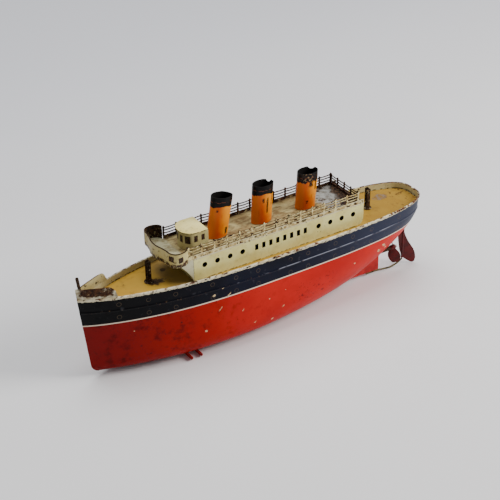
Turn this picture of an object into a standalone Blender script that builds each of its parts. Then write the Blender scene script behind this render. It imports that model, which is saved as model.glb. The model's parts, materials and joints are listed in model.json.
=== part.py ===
"""Clockwork tinplate toy liner: pressed hull, three funnels, bridge, propeller, rudder and motor.

Frame: +X towards the bow, +Y to port, +Z up. The origin is under the middle of the overall
box, on the surface that the boat stands on. Sizes below are in millimetres unless they say
otherwise, and every mesh is made in metres.
"""
import math

import bmesh
import bpy
from mathutils import Matrix, Vector

MM = 0.001
GAP = 0.3                      # clearance between pieces that touch

# Overall layout, measured along X from the front post of the boat-deck rail (fore end, aft negative)
RAIL_START_X = 79.2            # that post's place in the part's frame

# Hull
RIM_Z = 78.0                   # top edge of the pressed hull
KEEL_Z = 4.0                   # flat bottom
HALF_BEAM = 32.1
STEM_RIM_X = RAIL_START_X + 90.25
STEM_RAKE = 0.105              # the stem runs aft by this much for each millimetre it drops
FOREFOOT_RADIUS = 8.0
STERN_RIM_X = RAIL_START_X - 245.5
KEEL_END_X = RAIL_START_X - 178.0
COUNTER_Z = 64.0               # below this the stern sweeps forward to the keel
COUNTER_POWER = 1.5
SECTION_POWER = 5.5            # higher is boxier in cross-section
BOTTOM_FLARE = 1.04
WIDEST_RIM = 0.50              # where along the length the hull is widest, at the rim
WIDEST_KEEL = 0.525
BOW_POWER = 2.5
BOW_ROUND_RIM = 0.86
BOW_ROUND_KEEL = 0.98
STERN_POWER_RIM = 3.2
STERN_POWER_KEEL = 1.3
HULL_SHEET = 0.9
SEAM_HALF = 0.15               # half the gap between the two hull pressings
HULL_STATIONS = 34
HULL_ROWS = 13

# Decks and deckhouse
DECK_TOP_Z = 72.7
SHEET = 0.6
DECK_SHEET = 0.8
DECK_STATIONS = 30
DECK_NARROWEST = 1.5           # the deck stops at each end where its half width falls to this
HOUSE_HALF = 20.8
HOUSE_FRONT_X = RAIL_START_X - 4.5
HOUSE_AFT_X = RAIL_START_X - 174.0
HOUSE_TOP_Z = 93.9
SILL_Z = 94.2
RAIL_FOOT_Z = 98.0
RAIL_TOP_Z = 106.0
POST_PITCH = 12.0
POST_COUNT = 15
BOAT_DECK_Z = 95.5
BRIDGE_TOP_Z = 106.9
BRIDGE_FOOT_Z = 94.7
WHEELHOUSE_TOP_Z = 112.5
WHEELHOUSE_HALF = 11.2

# Funnels
# Each funnel is oval and set a little differently by hand: its foot's middle, its height along
# its axis, and how far it leans aft and to port for each unit of height
FUNNELS = {"funnel_front": (RAIL_START_X - 38.7, 36.6, 0.135, 0.036),
           "funnel_middle": (RAIL_START_X - 82.2, 35.3, 0.045, 0.015),
           "funnel_aft": (RAIL_START_X - 126.7, 34.8, 0.030, 0.060)}
FUNNEL_HALF_LENGTH = 9.5
FUNNEL_HALF_WIDTH = 6.1
FUNNEL_FLARE = 0.03            # how much wider the top is
KEY_HOLE_RADIUS = 5.0

# Drive line
SHAFT_Z = 21.5
SHAFT_RADIUS = 1.1
TUBE_RADIUS = 2.0
PROPELLER_X = RAIL_START_X - 226.6
PROPELLER_RADIUS = 15.5
RUDDER_X = RAIL_START_X - 237.5
RUDDER_SET_DEG = 22.0          # the blade's set to port at rest
GUARD_RADIUS = 0.7

# Motor
MODULE = 0.8
ADDENDUM = 0.7 * MODULE        # a gear tooth's height outside the pitch circle
DEDENDUM = 0.95 * MODULE       # and its depth inside it
TOOTH_TIP_SHARE = 0.22         # a tooth's width at tip and root, as shares of the tooth pitch
TOOTH_ROOT_SHARE = 0.60
GREAT_TEETH = 48
PINION_TEETH = 12
CROWN_TEETH = 36
SHAFT_PINION_TEETH = 9
ARBOR_A_X = RAIL_START_X - 82.4
ARBOR_B_X = ARBOR_A_X - MODULE * (GREAT_TEETH + PINION_TEETH) / 2
CROWN_RADIUS = MODULE * CROWN_TEETH / 2
CROWN_RIM = 2.4                # radial width of the crown wheel's toothed rim
CROWN_BACK = 1.6               # solid height of that rim behind the teeth
SHAFT_PINION_X = ARBOR_B_X - CROWN_RADIUS
ARBOR_RADIUS = 2.0
PLATE_HALF = 13.5
PLATE_FRONT_X = RAIL_START_X - 54.0
PLATE_AFT_X = RAIL_START_X - 126.0
LOWER_PLATE_Z = 6.6
UPPER_PLATE_Z = 56.0
PILLAR_RADIUS = 2.0
PLATE_SHEET = 0.8

for leftover in list(bpy.data.objects):
    bpy.data.objects.remove(leftover, do_unlink=True)

boat = bpy.data.collections.new("toy_liner")
cutters = bpy.data.collections.new("cutters")
bpy.context.scene.collection.children.link(boat)
bpy.context.scene.collection.children.link(cutters)


def material(name, color, roughness, metallic=0.0):
    made = bpy.data.materials.new(name)
    made.use_nodes = True
    shader = made.node_tree.nodes["Principled BSDF"]
    shader.inputs["Base Color"].default_value = (*color, 1.0)
    shader.inputs["Roughness"].default_value = roughness
    shader.inputs["Metallic"].default_value = metallic
    made.diffuse_color = (*color, 1.0)
    return made


HULL_RED = material("hull_red", (0.50, 0.03, 0.02), 0.35)
DECK_OCHRE = material("deck_ochre", (0.50, 0.32, 0.08), 0.45)
HOUSE_CREAM = material("house_cream", (0.60, 0.56, 0.38), 0.45)
FUNNEL_ORANGE = material("funnel_orange", (0.70, 0.20, 0.02), 0.4)
RAIL_BROWN = material("rail_brown", (0.12, 0.05, 0.03), 0.6)
MAROON = material("maroon_paint", (0.12, 0.01, 0.01), 0.35)
STEEL = material("dull_steel", (0.35, 0.33, 0.30), 0.45, 1.0)
BRASS = material("brass_sheet", (0.60, 0.42, 0.16), 0.35, 1.0)
LEAD = material("lead_grey", (0.20, 0.20, 0.21), 0.7, 0.6)


def finish(obj, surface, smooth=False):
    """Put the object in the boat's collection with its material."""
    obj.data.materials.append(surface)
    if smooth:
        obj.data.shade_smooth()
        obj.data.set_sharp_from_angle(angle=math.radians(35))
    boat.objects.link(obj)
    return obj


def mesh_object(name, work, surface, smooth=False):
    """Turn a bmesh, in millimetres, into a named object in metres."""
    bmesh.ops.scale(work, vec=(MM, MM, MM), verts=work.verts)
    bmesh.ops.recalc_face_normals(work, faces=work.faces)
    data = bpy.data.meshes.new(name)
    work.to_mesh(data)
    work.free()
    return finish(bpy.data.objects.new(name, data), surface, smooth)


def set_origin(obj, point):
    """Move the object's origin to a point in millimetres, leaving the mesh where it is."""
    shift = Vector(point) * MM
    obj.data.transform(Matrix.Translation(-shift))
    obj.location = shift


def plate(name, loops, low, thickness, surface, plane="XY"):
    """A flat sheet with holes. Each loop is a closed outline, and low is its lower face.

    In plane XY the sheet lies flat at height low. In plane XZ it stands along the boat with
    its starboard face at y = low, and in plane YZ it stands across with its aft face at x = low.
    """
    curve = bpy.data.curves.new(name, "CURVE")
    curve.dimensions = "2D"
    curve.fill_mode = "BOTH"
    curve.extrude = thickness * MM / 2
    for loop in loops:
        spline = curve.splines.new("POLY")
        spline.points.add(len(loop) - 1)
        for point, (u, v) in zip(spline.points, loop):
            point.co = (u * MM, v * MM, 0.0, 1.0)
        spline.use_cyclic_u = True
    guide = bpy.data.objects.new(name, curve)
    cutters.objects.link(guide)
    data = bpy.data.meshes.new_from_object(guide.evaluated_get(bpy.context.evaluated_depsgraph_get()))
    bpy.data.objects.remove(guide, do_unlink=True)
    work = bmesh.new()
    work.from_mesh(data)
    bmesh.ops.remove_doubles(work, verts=work.verts, dist=1e-6)
    middle = (low + thickness / 2) * MM
    turn = {"XY": Matrix.Identity(4),
            "XZ": Matrix.Rotation(math.radians(90), 4, "X"),
            "YZ": Matrix.Rotation(math.radians(90), 4, "Z") @ Matrix.Rotation(math.radians(90), 4, "X")}
    move = {"XY": (0, 0, middle), "XZ": (0, middle, 0), "YZ": (middle, 0, 0)}
    bmesh.ops.transform(work, matrix=Matrix.Translation(move[plane]) @ turn[plane], verts=work.verts)
    bmesh.ops.recalc_face_normals(work, faces=work.faces)
    work.to_mesh(data)
    work.free()
    data.name = name
    return finish(bpy.data.objects.new(name, data), surface)


def circle(center, radius, sides=16, turn=0.0):
    steps = [2 * math.pi * (i + turn) / sides for i in range(sides)]
    return [(center[0] + radius * math.cos(a), center[1] + radius * math.sin(a)) for a in steps]


def rectangle(low_u, high_u, low_v, high_v):
    return [(low_u, low_v), (high_u, low_v), (high_u, high_v), (low_u, high_v)]


def rod(name, start, end, radius, surface, sides=16):
    """A solid round bar between two points, in millimetres."""
    start, end = Vector(start), Vector(end)
    work = bmesh.new()
    bmesh.ops.create_cone(work, cap_ends=True, segments=sides, radius1=radius, radius2=radius,
                          depth=(end - start).length)
    turn = (end - start).to_track_quat("Z", "Y").to_matrix().to_4x4()
    bmesh.ops.transform(work, matrix=Matrix.Translation((start + end) / 2) @ turn, verts=work.verts)
    return mesh_object(name, work, surface, smooth=True)


def tube(name, start, end, outer, inner, surface, sides=16):
    """A round tube between two points: its section is a closed profile turned about the axis."""
    start, end = Vector(start), Vector(end)
    length = (end - start).length
    work = bmesh.new()
    corners = [(outer, length), (outer, 0.0), (inner, 0.0), (inner, length)]
    verts = [work.verts.new((r, 0, z)) for r, z in corners]
    edges = [work.edges.new((verts[i], verts[(i + 1) % 4])) for i in range(4)]
    bmesh.ops.spin(work, geom=verts + edges, axis=(0, 0, 1), cent=(0, 0, 0), steps=sides,
                   angle=2 * math.pi, use_duplicate=False)
    bmesh.ops.remove_doubles(work, verts=work.verts, dist=1e-4)
    turn = (end - start).to_track_quat("Z", "Y").to_matrix().to_4x4()
    bmesh.ops.transform(work, matrix=Matrix.Translation(start) @ turn, verts=work.verts)
    return mesh_object(name, work, surface, smooth=True)


def boolean(obj, other, operation):
    """Cut or join with another mesh object, apply the result, and remove the other object."""
    step = obj.modifiers.new(operation.lower(), "BOOLEAN")
    step.operation = operation
    step.solver = "EXACT"
    step.object = other
    bpy.context.view_layer.update()
    data = bpy.data.meshes.new_from_object(obj.evaluated_get(bpy.context.evaluated_depsgraph_get()))
    obj.modifiers.remove(step)
    obj.data = data
    bpy.data.objects.remove(other, do_unlink=True)


def smooth_path(points, per_span=4):
    """A Catmull-Rom curve through points, with the given number of steps between two of them."""
    pts = [Vector(points[0]) * 2 - Vector(points[1])] + [Vector(p) for p in points]
    pts.append(Vector(points[-1]) * 2 - Vector(points[-2]))
    path = []
    for i in range(1, len(pts) - 2):
        p0, p1, p2, p3 = pts[i - 1:i + 3]
        for k in range(per_span):
            t = k / per_span
            path.append(0.5 * (2 * p1 + (p2 - p0) * t + (2 * p0 - 5 * p1 + 4 * p2 - p3) * t ** 2
                               + (3 * p1 - p0 - 3 * p2 + p3) * t ** 3))
    path.append(pts[-2])
    return path


# ---------------------------------------------------------------- hull form

def stem_x(z):
    """The stem's fore edge at a height, raked and rounded into the keel at the forefoot."""
    drop = min(max((KEEL_Z + FOREFOOT_RADIUS - z) / FOREFOOT_RADIUS, 0.0), 1.0)
    rounding = FOREFOOT_RADIUS * (1 - math.sqrt(1 - drop * drop))
    return STEM_RIM_X - STEM_RAKE * (RIM_Z - z) - rounding


def stern_x(z):
    """The stern's aft edge at a height: upright above, then a counter that sweeps to the keel."""
    drop = min(max((COUNTER_Z - z) / (COUNTER_Z - KEEL_Z), 0.0), 1.0)
    return STERN_RIM_X + (KEEL_END_X - STERN_RIM_X) * drop ** COUNTER_POWER


def hull_point(along, down):
    """The port skin. along runs from 0 at the stem to 1 at the stern, down from rim to keel."""
    z = RIM_Z - (RIM_Z - KEEL_Z) * down
    x = stem_x(z) + (stern_x(z) - stem_x(z)) * along
    widest = WIDEST_RIM + (WIDEST_KEEL - WIDEST_RIM) * down
    if along < widest:
        bow_round = BOW_ROUND_RIM + (BOW_ROUND_KEEL - BOW_ROUND_RIM) * down
        plan = (1 - (1 - along / widest) ** BOW_POWER) ** bow_round
    else:
        power = STERN_POWER_RIM + (STERN_POWER_KEEL - STERN_POWER_RIM) * down
        aft = (along - widest) / (1 - widest)
        plan = max(1 - aft ** power, 0.0) ** (1 / power)
    section = max(1 - down ** SECTION_POWER, 0.0) ** (1 / SECTION_POWER)
    y = HALF_BEAM * (1 + (BOTTOM_FLARE - 1) * down) * section * plan
    return Vector((x, y, z))


def hull_normal(along, down):
    along = min(max(along, 0.004), 0.996)
    down = min(max(down, 0.002), 0.997)
    step = 0.001
    across = hull_point(along + step, down) - hull_point(along - step, down)
    drop = hull_point(along, down + step) - hull_point(along, down - step)
    normal = across.cross(drop).normalized()
    return normal if normal.y > 0 else -normal


def inner_point(along, down, depth):
    """A point at a depth inside the port skin."""
    return hull_point(along, down) - hull_normal(along, down) * depth


def grid_shell(work, outer, inner):
    """Close two matching grids of points into one solid."""
    rows, columns = len(outer), len(outer[0])
    a = [[work.verts.new(p) for p in row] for row in outer]
    b = [[work.verts.new(p) for p in row] for row in inner]
    for i in range(rows - 1):
        for j in range(columns - 1):
            work.faces.new((a[i][j], a[i + 1][j], a[i + 1][j + 1], a[i][j + 1]))
            work.faces.new((b[i][j], b[i][j + 1], b[i + 1][j + 1], b[i + 1][j]))
    for j in range(columns - 1):
        for i in (0, rows - 1):
            work.faces.new((a[i][j], a[i][j + 1], b[i][j + 1], b[i][j]))
    for i in range(rows - 1):
        for j in (0, columns - 1):
            work.faces.new((a[i][j], a[i + 1][j], b[i + 1][j], b[i][j]))


def hull_half(name, side):
    """One pressing of the hull, side +1 for port and -1 for starboard."""
    outer, inner = [], []
    for i in range(HULL_STATIONS + 1):
        along = (1 - math.cos(math.pi * i / HULL_STATIONS)) / 2
        outer_row, inner_row = [], []
        for j in range(HULL_ROWS + 1):
            down = math.sin(math.pi / 2 * j / HULL_ROWS) ** 0.8
            skin = hull_point(along, down)
            inside = inner_point(along, down, HULL_SHEET)
            if j == 0:
                inside.z = RIM_Z
            skin.y = side * max(skin.y, SEAM_HALF)
            inside.y = side * max(inside.y, SEAM_HALF)
            outer_row.append(skin)
            inner_row.append(inside)
        outer.append(outer_row)
        inner.append(inner_row)
    work = bmesh.new()
    grid_shell(work, outer, inner)
    half = mesh_object(name, work, HULL_RED, smooth=True)
    shaft_cut = rod("shaft_cut", (PROPELLER_X, 0, SHAFT_Z), (PLATE_AFT_X, 0, SHAFT_Z),
                    TUBE_RADIUS + GAP, STEEL)
    boolean(half, shaft_cut, "DIFFERENCE")
    rudder_cut = rod("rudder_cut", (RUDDER_X, 0, KEEL_Z), (RUDDER_X, 0, DECK_TOP_Z - 4),
                     TUBE_RADIUS + GAP, STEEL)
    boolean(half, rudder_cut, "DIFFERENCE")
    return half


hull_half("hull_port", 1)
hull_half("hull_starboard", -1)


def deck_outline():
    """The plan of the main deck, just inside the hull's sheet."""
    down = (RIM_Z - DECK_TOP_Z + DECK_SHEET) / (RIM_Z - KEEL_Z)
    half = []
    for i in range(1, DECK_STATIONS):
        along = (1 - math.cos(math.pi * i / DECK_STATIONS)) / 2
        point = inner_point(along, down, HULL_SHEET + 1.5 * GAP)
        if point.y > DECK_NARROWEST:
            half.append((point.x, point.y))
    return half + [(x, -y) for x, y in reversed(half)]


plate("main_deck", [deck_outline(), circle((ARBOR_A_X, 0), KEY_HOLE_RADIUS)],
      DECK_TOP_Z - DECK_SHEET, DECK_SHEET, DECK_OCHRE)


# ---------------------------------------------------------------- bow and masts

BOW_PLATE_END = 1.5            # its height where the corner meets the rim


def bow_plate(name, side, top_z, length, corner):
    """A raised plate on the rim from the stem aft, with its after top corner rounded off."""
    outer, inner = [], []
    for i in range(13):
        run = length * i / 12
        along = run / (STEM_RIM_X - STERN_RIM_X)
        skin = hull_point(along, 0.0)
        inside = inner_point(along, 0.0, HULL_SHEET)
        past = max(run - (length - corner), 0.0) / corner
        full = top_z - RIM_Z - BOW_PLATE_END
        height = BOW_PLATE_END + full * math.sqrt(max(1 - past * past, 0.0))
        outer_row, inner_row = [], []
        for j in range(3):
            rise = height * j / 2
            lean = STEM_RAKE * rise
            outer_row.append((skin.x + lean, side * max(skin.y, SEAM_HALF), RIM_Z + GAP + rise))
            inner_row.append((inside.x + lean, side * max(inside.y, SEAM_HALF), RIM_Z + GAP + rise))
        outer.append(outer_row)
        inner.append(inner_row)
    work = bmesh.new()
    grid_shell(work, outer, inner)
    return mesh_object(name, work, HOUSE_CREAM, smooth=True)


bow_plate("bow_plate_port", 1, 88.0, 29.0, 6.0)
bow_plate("bow_plate_starboard", -1, 85.5, 33.0, 4.5)

JACKSTAFF_X = STEM_RIM_X - 4.5
tube("jackstaff_socket", (JACKSTAFF_X, 0, DECK_TOP_Z + GAP), (JACKSTAFF_X + 3.0, 0, RAIL_FOOT_Z),
     1.35, 0.75, RAIL_BROWN, sides=12)


SOCKET_WIDTH = 4.2
SOCKET_DEPTH = 3.4
SOCKET_LIP = 1.2
SOCKET_FOOT_RADIUS = 4.0


def mast_socket(name, x, height, opening):
    """A rolled sheet socket on a foot, open on one side: opening is +1 for the bow side."""
    half = SOCKET_WIDTH / 2
    inside = SOCKET_DEPTH - SHEET
    upper = [(SHEET, half - SHEET), (inside, half - SHEET), (inside, half - SOCKET_LIP),
             (SOCKET_DEPTH, half - SOCKET_LIP), (SOCKET_DEPTH, half), (0, half)]
    channel = upper + [(u, -v) for u, v in reversed(upper)]
    outline = [(x + opening * (u - SOCKET_DEPTH / 2), v) for u, v in channel]
    foot_z = DECK_TOP_Z + GAP
    socket = plate(name, [outline], foot_z, height, RAIL_BROWN)
    foot = plate("foot", [circle((x, 0), SOCKET_FOOT_RADIUS, 12)], foot_z, SHEET, RAIL_BROWN)
    boolean(socket, foot, "UNION")


mast_socket("fore_mast_socket", RAIL_START_X + 26.4, 19.6, 1)
mast_socket("aft_mast_socket", RAIL_START_X - 194.0, 19.8, 1)


# ---------------------------------------------------------------- deckhouse

HOUSE_FOOT_Z = DECK_TOP_Z + GAP
PORTHOLE_Z = 86.0
PORTHOLE_RADIUS = 2.3
WINDOW_HALF_WIDTH = 1.6
WINDOW_HALF_HEIGHT = 2.7
SIDE_CORNER_RADIUS = 6.5


def side_openings():
    """Round ports in two groups of four with eight tall windows between them."""
    holes = []
    for first in (14.5, 126.7):
        for k in range(4):
            holes.append(circle((RAIL_START_X - first - 12.04 * k, PORTHOLE_Z), PORTHOLE_RADIUS))
    for k in range(8):
        x = RAIL_START_X - 64.4 - 6.94 * k
        holes.append(rectangle(x - WINDOW_HALF_WIDTH, x + WINDOW_HALF_WIDTH,
                               PORTHOLE_Z - WINDOW_HALF_HEIGHT, PORTHOLE_Z + WINDOW_HALF_HEIGHT))
    return holes


def side_outline():
    """The side wall's outline: square, but for a rounded lower corner at the after end."""
    radius = SIDE_CORNER_RADIUS
    corner = [(HOUSE_AFT_X + radius - radius * math.cos(a), HOUSE_FOOT_Z + radius - radius * math.sin(a))
              for a in [math.pi / 2 * k / 5 for k in range(6)]]
    front = [(HOUSE_FRONT_X, HOUSE_FOOT_Z), (HOUSE_FRONT_X, HOUSE_TOP_Z)]
    return [(HOUSE_AFT_X, HOUSE_TOP_Z)] + corner + front


house_side = [side_outline()] + side_openings()
plate("house_side_port", house_side, HOUSE_HALF - SHEET, SHEET, HOUSE_CREAM, "XZ")
plate("house_side_starboard", house_side, -HOUSE_HALF, SHEET, HOUSE_CREAM, "XZ")

INNER_HALF = HOUSE_HALF - SHEET - GAP
plate("house_front", [rectangle(-INNER_HALF, INNER_HALF, HOUSE_FOOT_Z, HOUSE_TOP_Z)],
      HOUSE_FRONT_X - SHEET, SHEET, HOUSE_CREAM, "YZ")
plate("house_aft", [rectangle(-INNER_HALF, INNER_HALF, HOUSE_FOOT_Z, HOUSE_TOP_Z)],
      HOUSE_AFT_X + SIDE_CORNER_RADIUS, SHEET, HOUSE_CREAM, "YZ")


def bracket_outline():
    """The plate under each bridge wing: its fore edge sweeps from the deck up to the wing."""
    fore_edge = smooth_path([(RAIL_START_X - 4.2, HOUSE_FOOT_Z, 0), (RAIL_START_X - 2.2, 78.0, 0),
                             (RAIL_START_X + 3.2, 85.8, 0), (RAIL_START_X + 11.0, 94.2, 0)], 4)
    return [(RAIL_START_X - 4.2, 94.2)] + [(p.x, p.y) for p in fore_edge]


plate("bridge_bracket_port", [bracket_outline()], HOUSE_HALF - SHEET, SHEET, HOUSE_CREAM, "XZ")
plate("bridge_bracket_starboard", [bracket_outline()], -HOUSE_HALF, SHEET, HOUSE_CREAM, "XZ")

# Plan of the bridge bulwark from its port after end to the middle of its front, fore of the first
# rail post by x and out from the middle line by y
BRIDGE_PLAN = [(1.2, 20.8), (2.9, 24.0), (7.0, 26.0), (11.5, 26.3), (15.3, 24.5), (17.3, 20.8),
               (17.6, 16.5), (18.6, 11.0), (20.1, 6.0), (20.7, 0.0)]


def bridge_path():
    """The bulwark's outer line from the port end, round the front to the starboard end."""
    half = [(RAIL_START_X + x, y, 0) for x, y in BRIDGE_PLAN]
    return smooth_path(half + [(x, -y, 0) for x, y, _ in reversed(half[:-1])], 3)


def offset_path(path, distance):
    """The path moved sideways, towards its left as it runs."""
    moved = []
    for i, point in enumerate(path):
        ahead = path[min(i + 1, len(path) - 1)] - path[max(i - 1, 0)]
        side = Vector((-ahead.y, ahead.x, 0)).normalized()
        moved.append(point + side * distance)
    return moved


def flat(path):
    return [(p.x, p.y) for p in path]


bridge_line = bridge_path()
plate("bridge_bulwark", [flat(bridge_line) + flat(reversed(offset_path(bridge_line, -SHEET)))],
      BRIDGE_FOOT_Z, BRIDGE_TOP_Z - BRIDGE_FOOT_Z, HOUSE_CREAM)


def boat_deck_outline():
    """The roof of the house, which runs on forward as the floor of the bridge."""
    fore = [p for p in offset_path(bridge_line, -(SHEET + GAP)) if p.x > RAIL_START_X + 1.5]
    aft_x = HOUSE_AFT_X + GAP
    return flat(fore) + [(RAIL_START_X + 1.0, -INNER_HALF), (aft_x, -INNER_HALF),
                         (aft_x, INNER_HALF), (RAIL_START_X + 1.0, INNER_HALF)]


plate("boat_deck", [boat_deck_outline(), circle((ARBOR_A_X, 0), KEY_HOLE_RADIUS)],
      BOAT_DECK_Z - DECK_SHEET, DECK_SHEET, HOUSE_CREAM)


# ---------------------------------------------------------------- wheelhouse

WHEELHOUSE_NOSE_X = RAIL_START_X - 3.2
WHEELHOUSE_SHOULDER_X = RAIL_START_X - 12.5
WHEELHOUSE_AFT_X = RAIL_START_X - 24.3


def bullet(grow, aft_grow):
    """The wheelhouse plan: a rounded nose forward, straight sides and a flat back."""
    nose = WHEELHOUSE_NOSE_X - WHEELHOUSE_SHOULDER_X + grow
    half = WHEELHOUSE_HALF + grow
    arc = [(WHEELHOUSE_SHOULDER_X + nose * math.cos(a), half * math.sin(a))
           for a in [math.pi / 2 - math.pi * k / 16 for k in range(17)]]
    return [(WHEELHOUSE_AFT_X - aft_grow, half)] + arc + [(WHEELHOUSE_AFT_X - aft_grow, -half)]


WHEELHOUSE_FOOT_Z = BOAT_DECK_Z + GAP
plate("wheelhouse_walls", [bullet(0.0, 0.0), bullet(-SHEET, -SHEET)], WHEELHOUSE_FOOT_Z,
      WHEELHOUSE_TOP_Z - DECK_SHEET - GAP - WHEELHOUSE_FOOT_Z, HOUSE_CREAM)
plate("wheelhouse_roof", [bullet(1.1, -0.9)], WHEELHOUSE_TOP_Z - DECK_SHEET, DECK_SHEET, HOUSE_CREAM)


# ---------------------------------------------------------------- funnels

def oval(half_length, half_width):
    steps = [2 * math.pi * k / 32 for k in range(32)]
    return [(half_length * math.cos(a), half_width * math.sin(a)) for a in steps]


for funnel_name, (foot_x, height, lean_aft, lean_port) in FUNNELS.items():
    outer = oval(FUNNEL_HALF_LENGTH, FUNNEL_HALF_WIDTH)
    inner = oval(FUNNEL_HALF_LENGTH - SHEET, FUNNEL_HALF_WIDTH - SHEET)
    funnel = plate(funnel_name, [outer, inner], 0, height, FUNNEL_ORANGE)
    for vertex in funnel.data.vertices:
        x, y, z = vertex.co
        share = z / (height * MM)
        flare = 1 + FUNNEL_FLARE * share
        # The foot is flat on the deck, and the top is square to the leaning axis
        vertex.co = (x * flare - lean_aft * z, y * flare + lean_port * z,
                     z + share * (lean_aft * x - lean_port * y))
    funnel.location = (foot_x * MM, 0, (BOAT_DECK_Z + GAP) * MM)


# ---------------------------------------------------------------- rails

POST_WIDTH = 1.4
BAR_HEIGHT = 0.55
BAR_COUNT = 3
POST_TIP = 0.9                 # the posts' points above the rail's top, and the top bar's drop below


def rail_loops(first, pitch, count, sill_z, tail_x=None):
    """A stamped rail strip: a sill, pointed posts, and bars with open bays between them.

    The sill may run on past the first post, as a low tail.
    """
    half = POST_WIDTH / 2
    last = first + pitch * (count - 1)
    top = [(last + half, sill_z)]
    bar_top = RAIL_TOP_Z - POST_TIP
    for k in reversed(range(count)):
        x = first + pitch * k
        top += [(x + half, bar_top), (x + half, RAIL_TOP_Z), (x, RAIL_TOP_Z + POST_TIP),
                (x - half, RAIL_TOP_Z), (x - half, bar_top)]
    if tail_x is not None:
        top += [(first - half, RAIL_FOOT_Z - 1), (tail_x, RAIL_FOOT_Z - 1)]
    outline = [(first - half if tail_x is None else tail_x, sill_z)] + top
    bay = (bar_top - RAIL_FOOT_Z - BAR_COUNT * BAR_HEIGHT) / BAR_COUNT
    holes = []
    for k in range(count - 1):
        for row in range(BAR_COUNT):
            low = RAIL_FOOT_Z + row * (bay + BAR_HEIGHT)
            x = first + pitch * k
            holes.append(rectangle(x + half, x + pitch - half, low, low + bay))
    return [outline] + holes


RAIL_AFT_X = RAIL_START_X - POST_PITCH * (POST_COUNT - 1)
side_rail = rail_loops(RAIL_AFT_X, POST_PITCH, POST_COUNT, SILL_Z, HOUSE_AFT_X)
plate("rail_port", side_rail, HOUSE_HALF - SHEET, SHEET, RAIL_BROWN, "XZ")
plate("rail_starboard", side_rail, -HOUSE_HALF, SHEET, RAIL_BROWN, "XZ")
AFT_RAIL_HALF = HOUSE_HALF - SHEET - GAP - POST_WIDTH / 2
plate("rail_aft", rail_loops(-AFT_RAIL_HALF, AFT_RAIL_HALF / 2, 5, BOAT_DECK_Z + GAP),
      RAIL_AFT_X - SHEET / 2, SHEET, RAIL_BROWN, "YZ")


# ---------------------------------------------------------------- under the hull

FOOT_X = RAIL_START_X - 1.5
FOOT_WIDTH = 10.0
FOOT_HALF = 26.5
FOOT_SHEET = 0.8
FOOT_CORNER = 3.8
STRAP_HALF = 15.0


def stand_foot():
    """A sheet channel across the bottom: two flanges with rounded ends, on which the boat stands."""
    top = KEEL_Z - GAP
    fore_x, aft_x = FOOT_X + FOOT_WIDTH / 2, FOOT_X - FOOT_WIDTH / 2
    strap = plate("stand_foot", [rectangle(aft_x, fore_x, -STRAP_HALF, STRAP_HALF)],
                  top - FOOT_SHEET, FOOT_SHEET, HULL_RED)
    corner = [(FOOT_HALF - FOOT_CORNER * (1 - math.sin(a)), FOOT_CORNER * (1 - math.cos(a)))
              for a in [math.pi / 2 * k / 4 for k in range(5)]]
    half = corner + [(FOOT_HALF, top), (STRAP_HALF + 1.0, top - 0.1)]
    outline = [(-u, v) for u, v in reversed(half)] + half
    for x in (aft_x, fore_x - FOOT_SHEET):
        flange = plate("flange", [outline], x, FOOT_SHEET, HULL_RED, "YZ")
        boolean(strap, flange, "UNION")


stand_foot()

SKEG_SHEET = 0.8
SKEG_AFT_X = RAIL_START_X - 209.8
SKEG_CLEARANCE = 0.45


def skeg_outline():
    """The fin under the run of the stern, below the propeller shaft's tube."""
    ceiling = SHAFT_Z - TUBE_RADIUS - GAP
    heights = [KEEL_Z + (ceiling - KEEL_Z) * k / 7 for k in range(8)]
    along_hull = [(stern_x(z) - SKEG_CLEARANCE / 2, z - SKEG_CLEARANCE) for z in heights]
    return along_hull + [(SKEG_AFT_X, along_hull[-1][1]), (SKEG_AFT_X, KEEL_Z - SKEG_CLEARANCE)]


plate("skeg", [skeg_outline()], -SKEG_SHEET / 2, SKEG_SHEET, HULL_RED, "XZ")

# The wire under the skeg and round beneath the propeller, up to the heel of the rudder
GUARD_ROUTE = [(-196.0, 2.55), (-209.0, 2.5), (-216.0, 1.5), (-222.0, 0.75), (-226.0, 0.75),
               (-231.5, 2.3), (-237.6, 5.4)]


def rudder_guard():
    path = smooth_path([(RAIL_START_X + x, 0, z) for x, z in GUARD_ROUTE], 4)
    curve = bpy.data.curves.new("rudder_guard", "CURVE")
    curve.dimensions = "3D"
    curve.bevel_depth = GUARD_RADIUS * MM
    curve.bevel_resolution = 2
    curve.use_fill_caps = True
    spline = curve.splines.new("POLY")
    spline.points.add(len(path) - 1)
    for point, place in zip(spline.points, path):
        point.co = (place.x * MM, 0, place.z * MM, 1.0)
    obj = bpy.data.objects.new("rudder_guard", curve)
    boat.objects.link(obj)
    curve.materials.append(STEEL)


rudder_guard()

STOCK_TOP_Z = 64.0
STOCK_RADIUS = 1.1
HEEL_Z = 6.6
RUDDER_SHEET = 0.8
# Blade outline as (distance aft of the stock, height)
BLADE = [(-4.4, 38.0), (-4.8, 31.0), (-4.4, 25.0), (-2.9, 15.6), (-0.8, 9.2), (1.2, 6.2),
         (5.0, 3.2), (8.4, 1.0), (10.4, 0.55), (12.2, 1.7), (13.0, 5.5), (12.4, 10.0), (10.6, 15.0),
         (8.4, 18.6), (5.4, 23.4), (2.6, 29.4), (0.8, 34.6), (-0.6, 38.6), (-2.6, 39.4)]


def rudder():
    """A sheet blade on a round stock, hung on the stock's axis and set over to port."""
    blade = plate("rudder", [[(-aft, z) for aft, z in BLADE]], -RUDDER_SHEET / 2, RUDDER_SHEET, MAROON, "XZ")
    stock = rod("stock", (0, 0, HEEL_Z), (0, 0, STOCK_TOP_Z), STOCK_RADIUS, STEEL, 12)
    boolean(blade, stock, "UNION")
    blade.rotation_euler = (0, 0, -math.radians(RUDDER_SET_DEG))
    blade.location = (RUDDER_X * MM, 0, 0)


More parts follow.
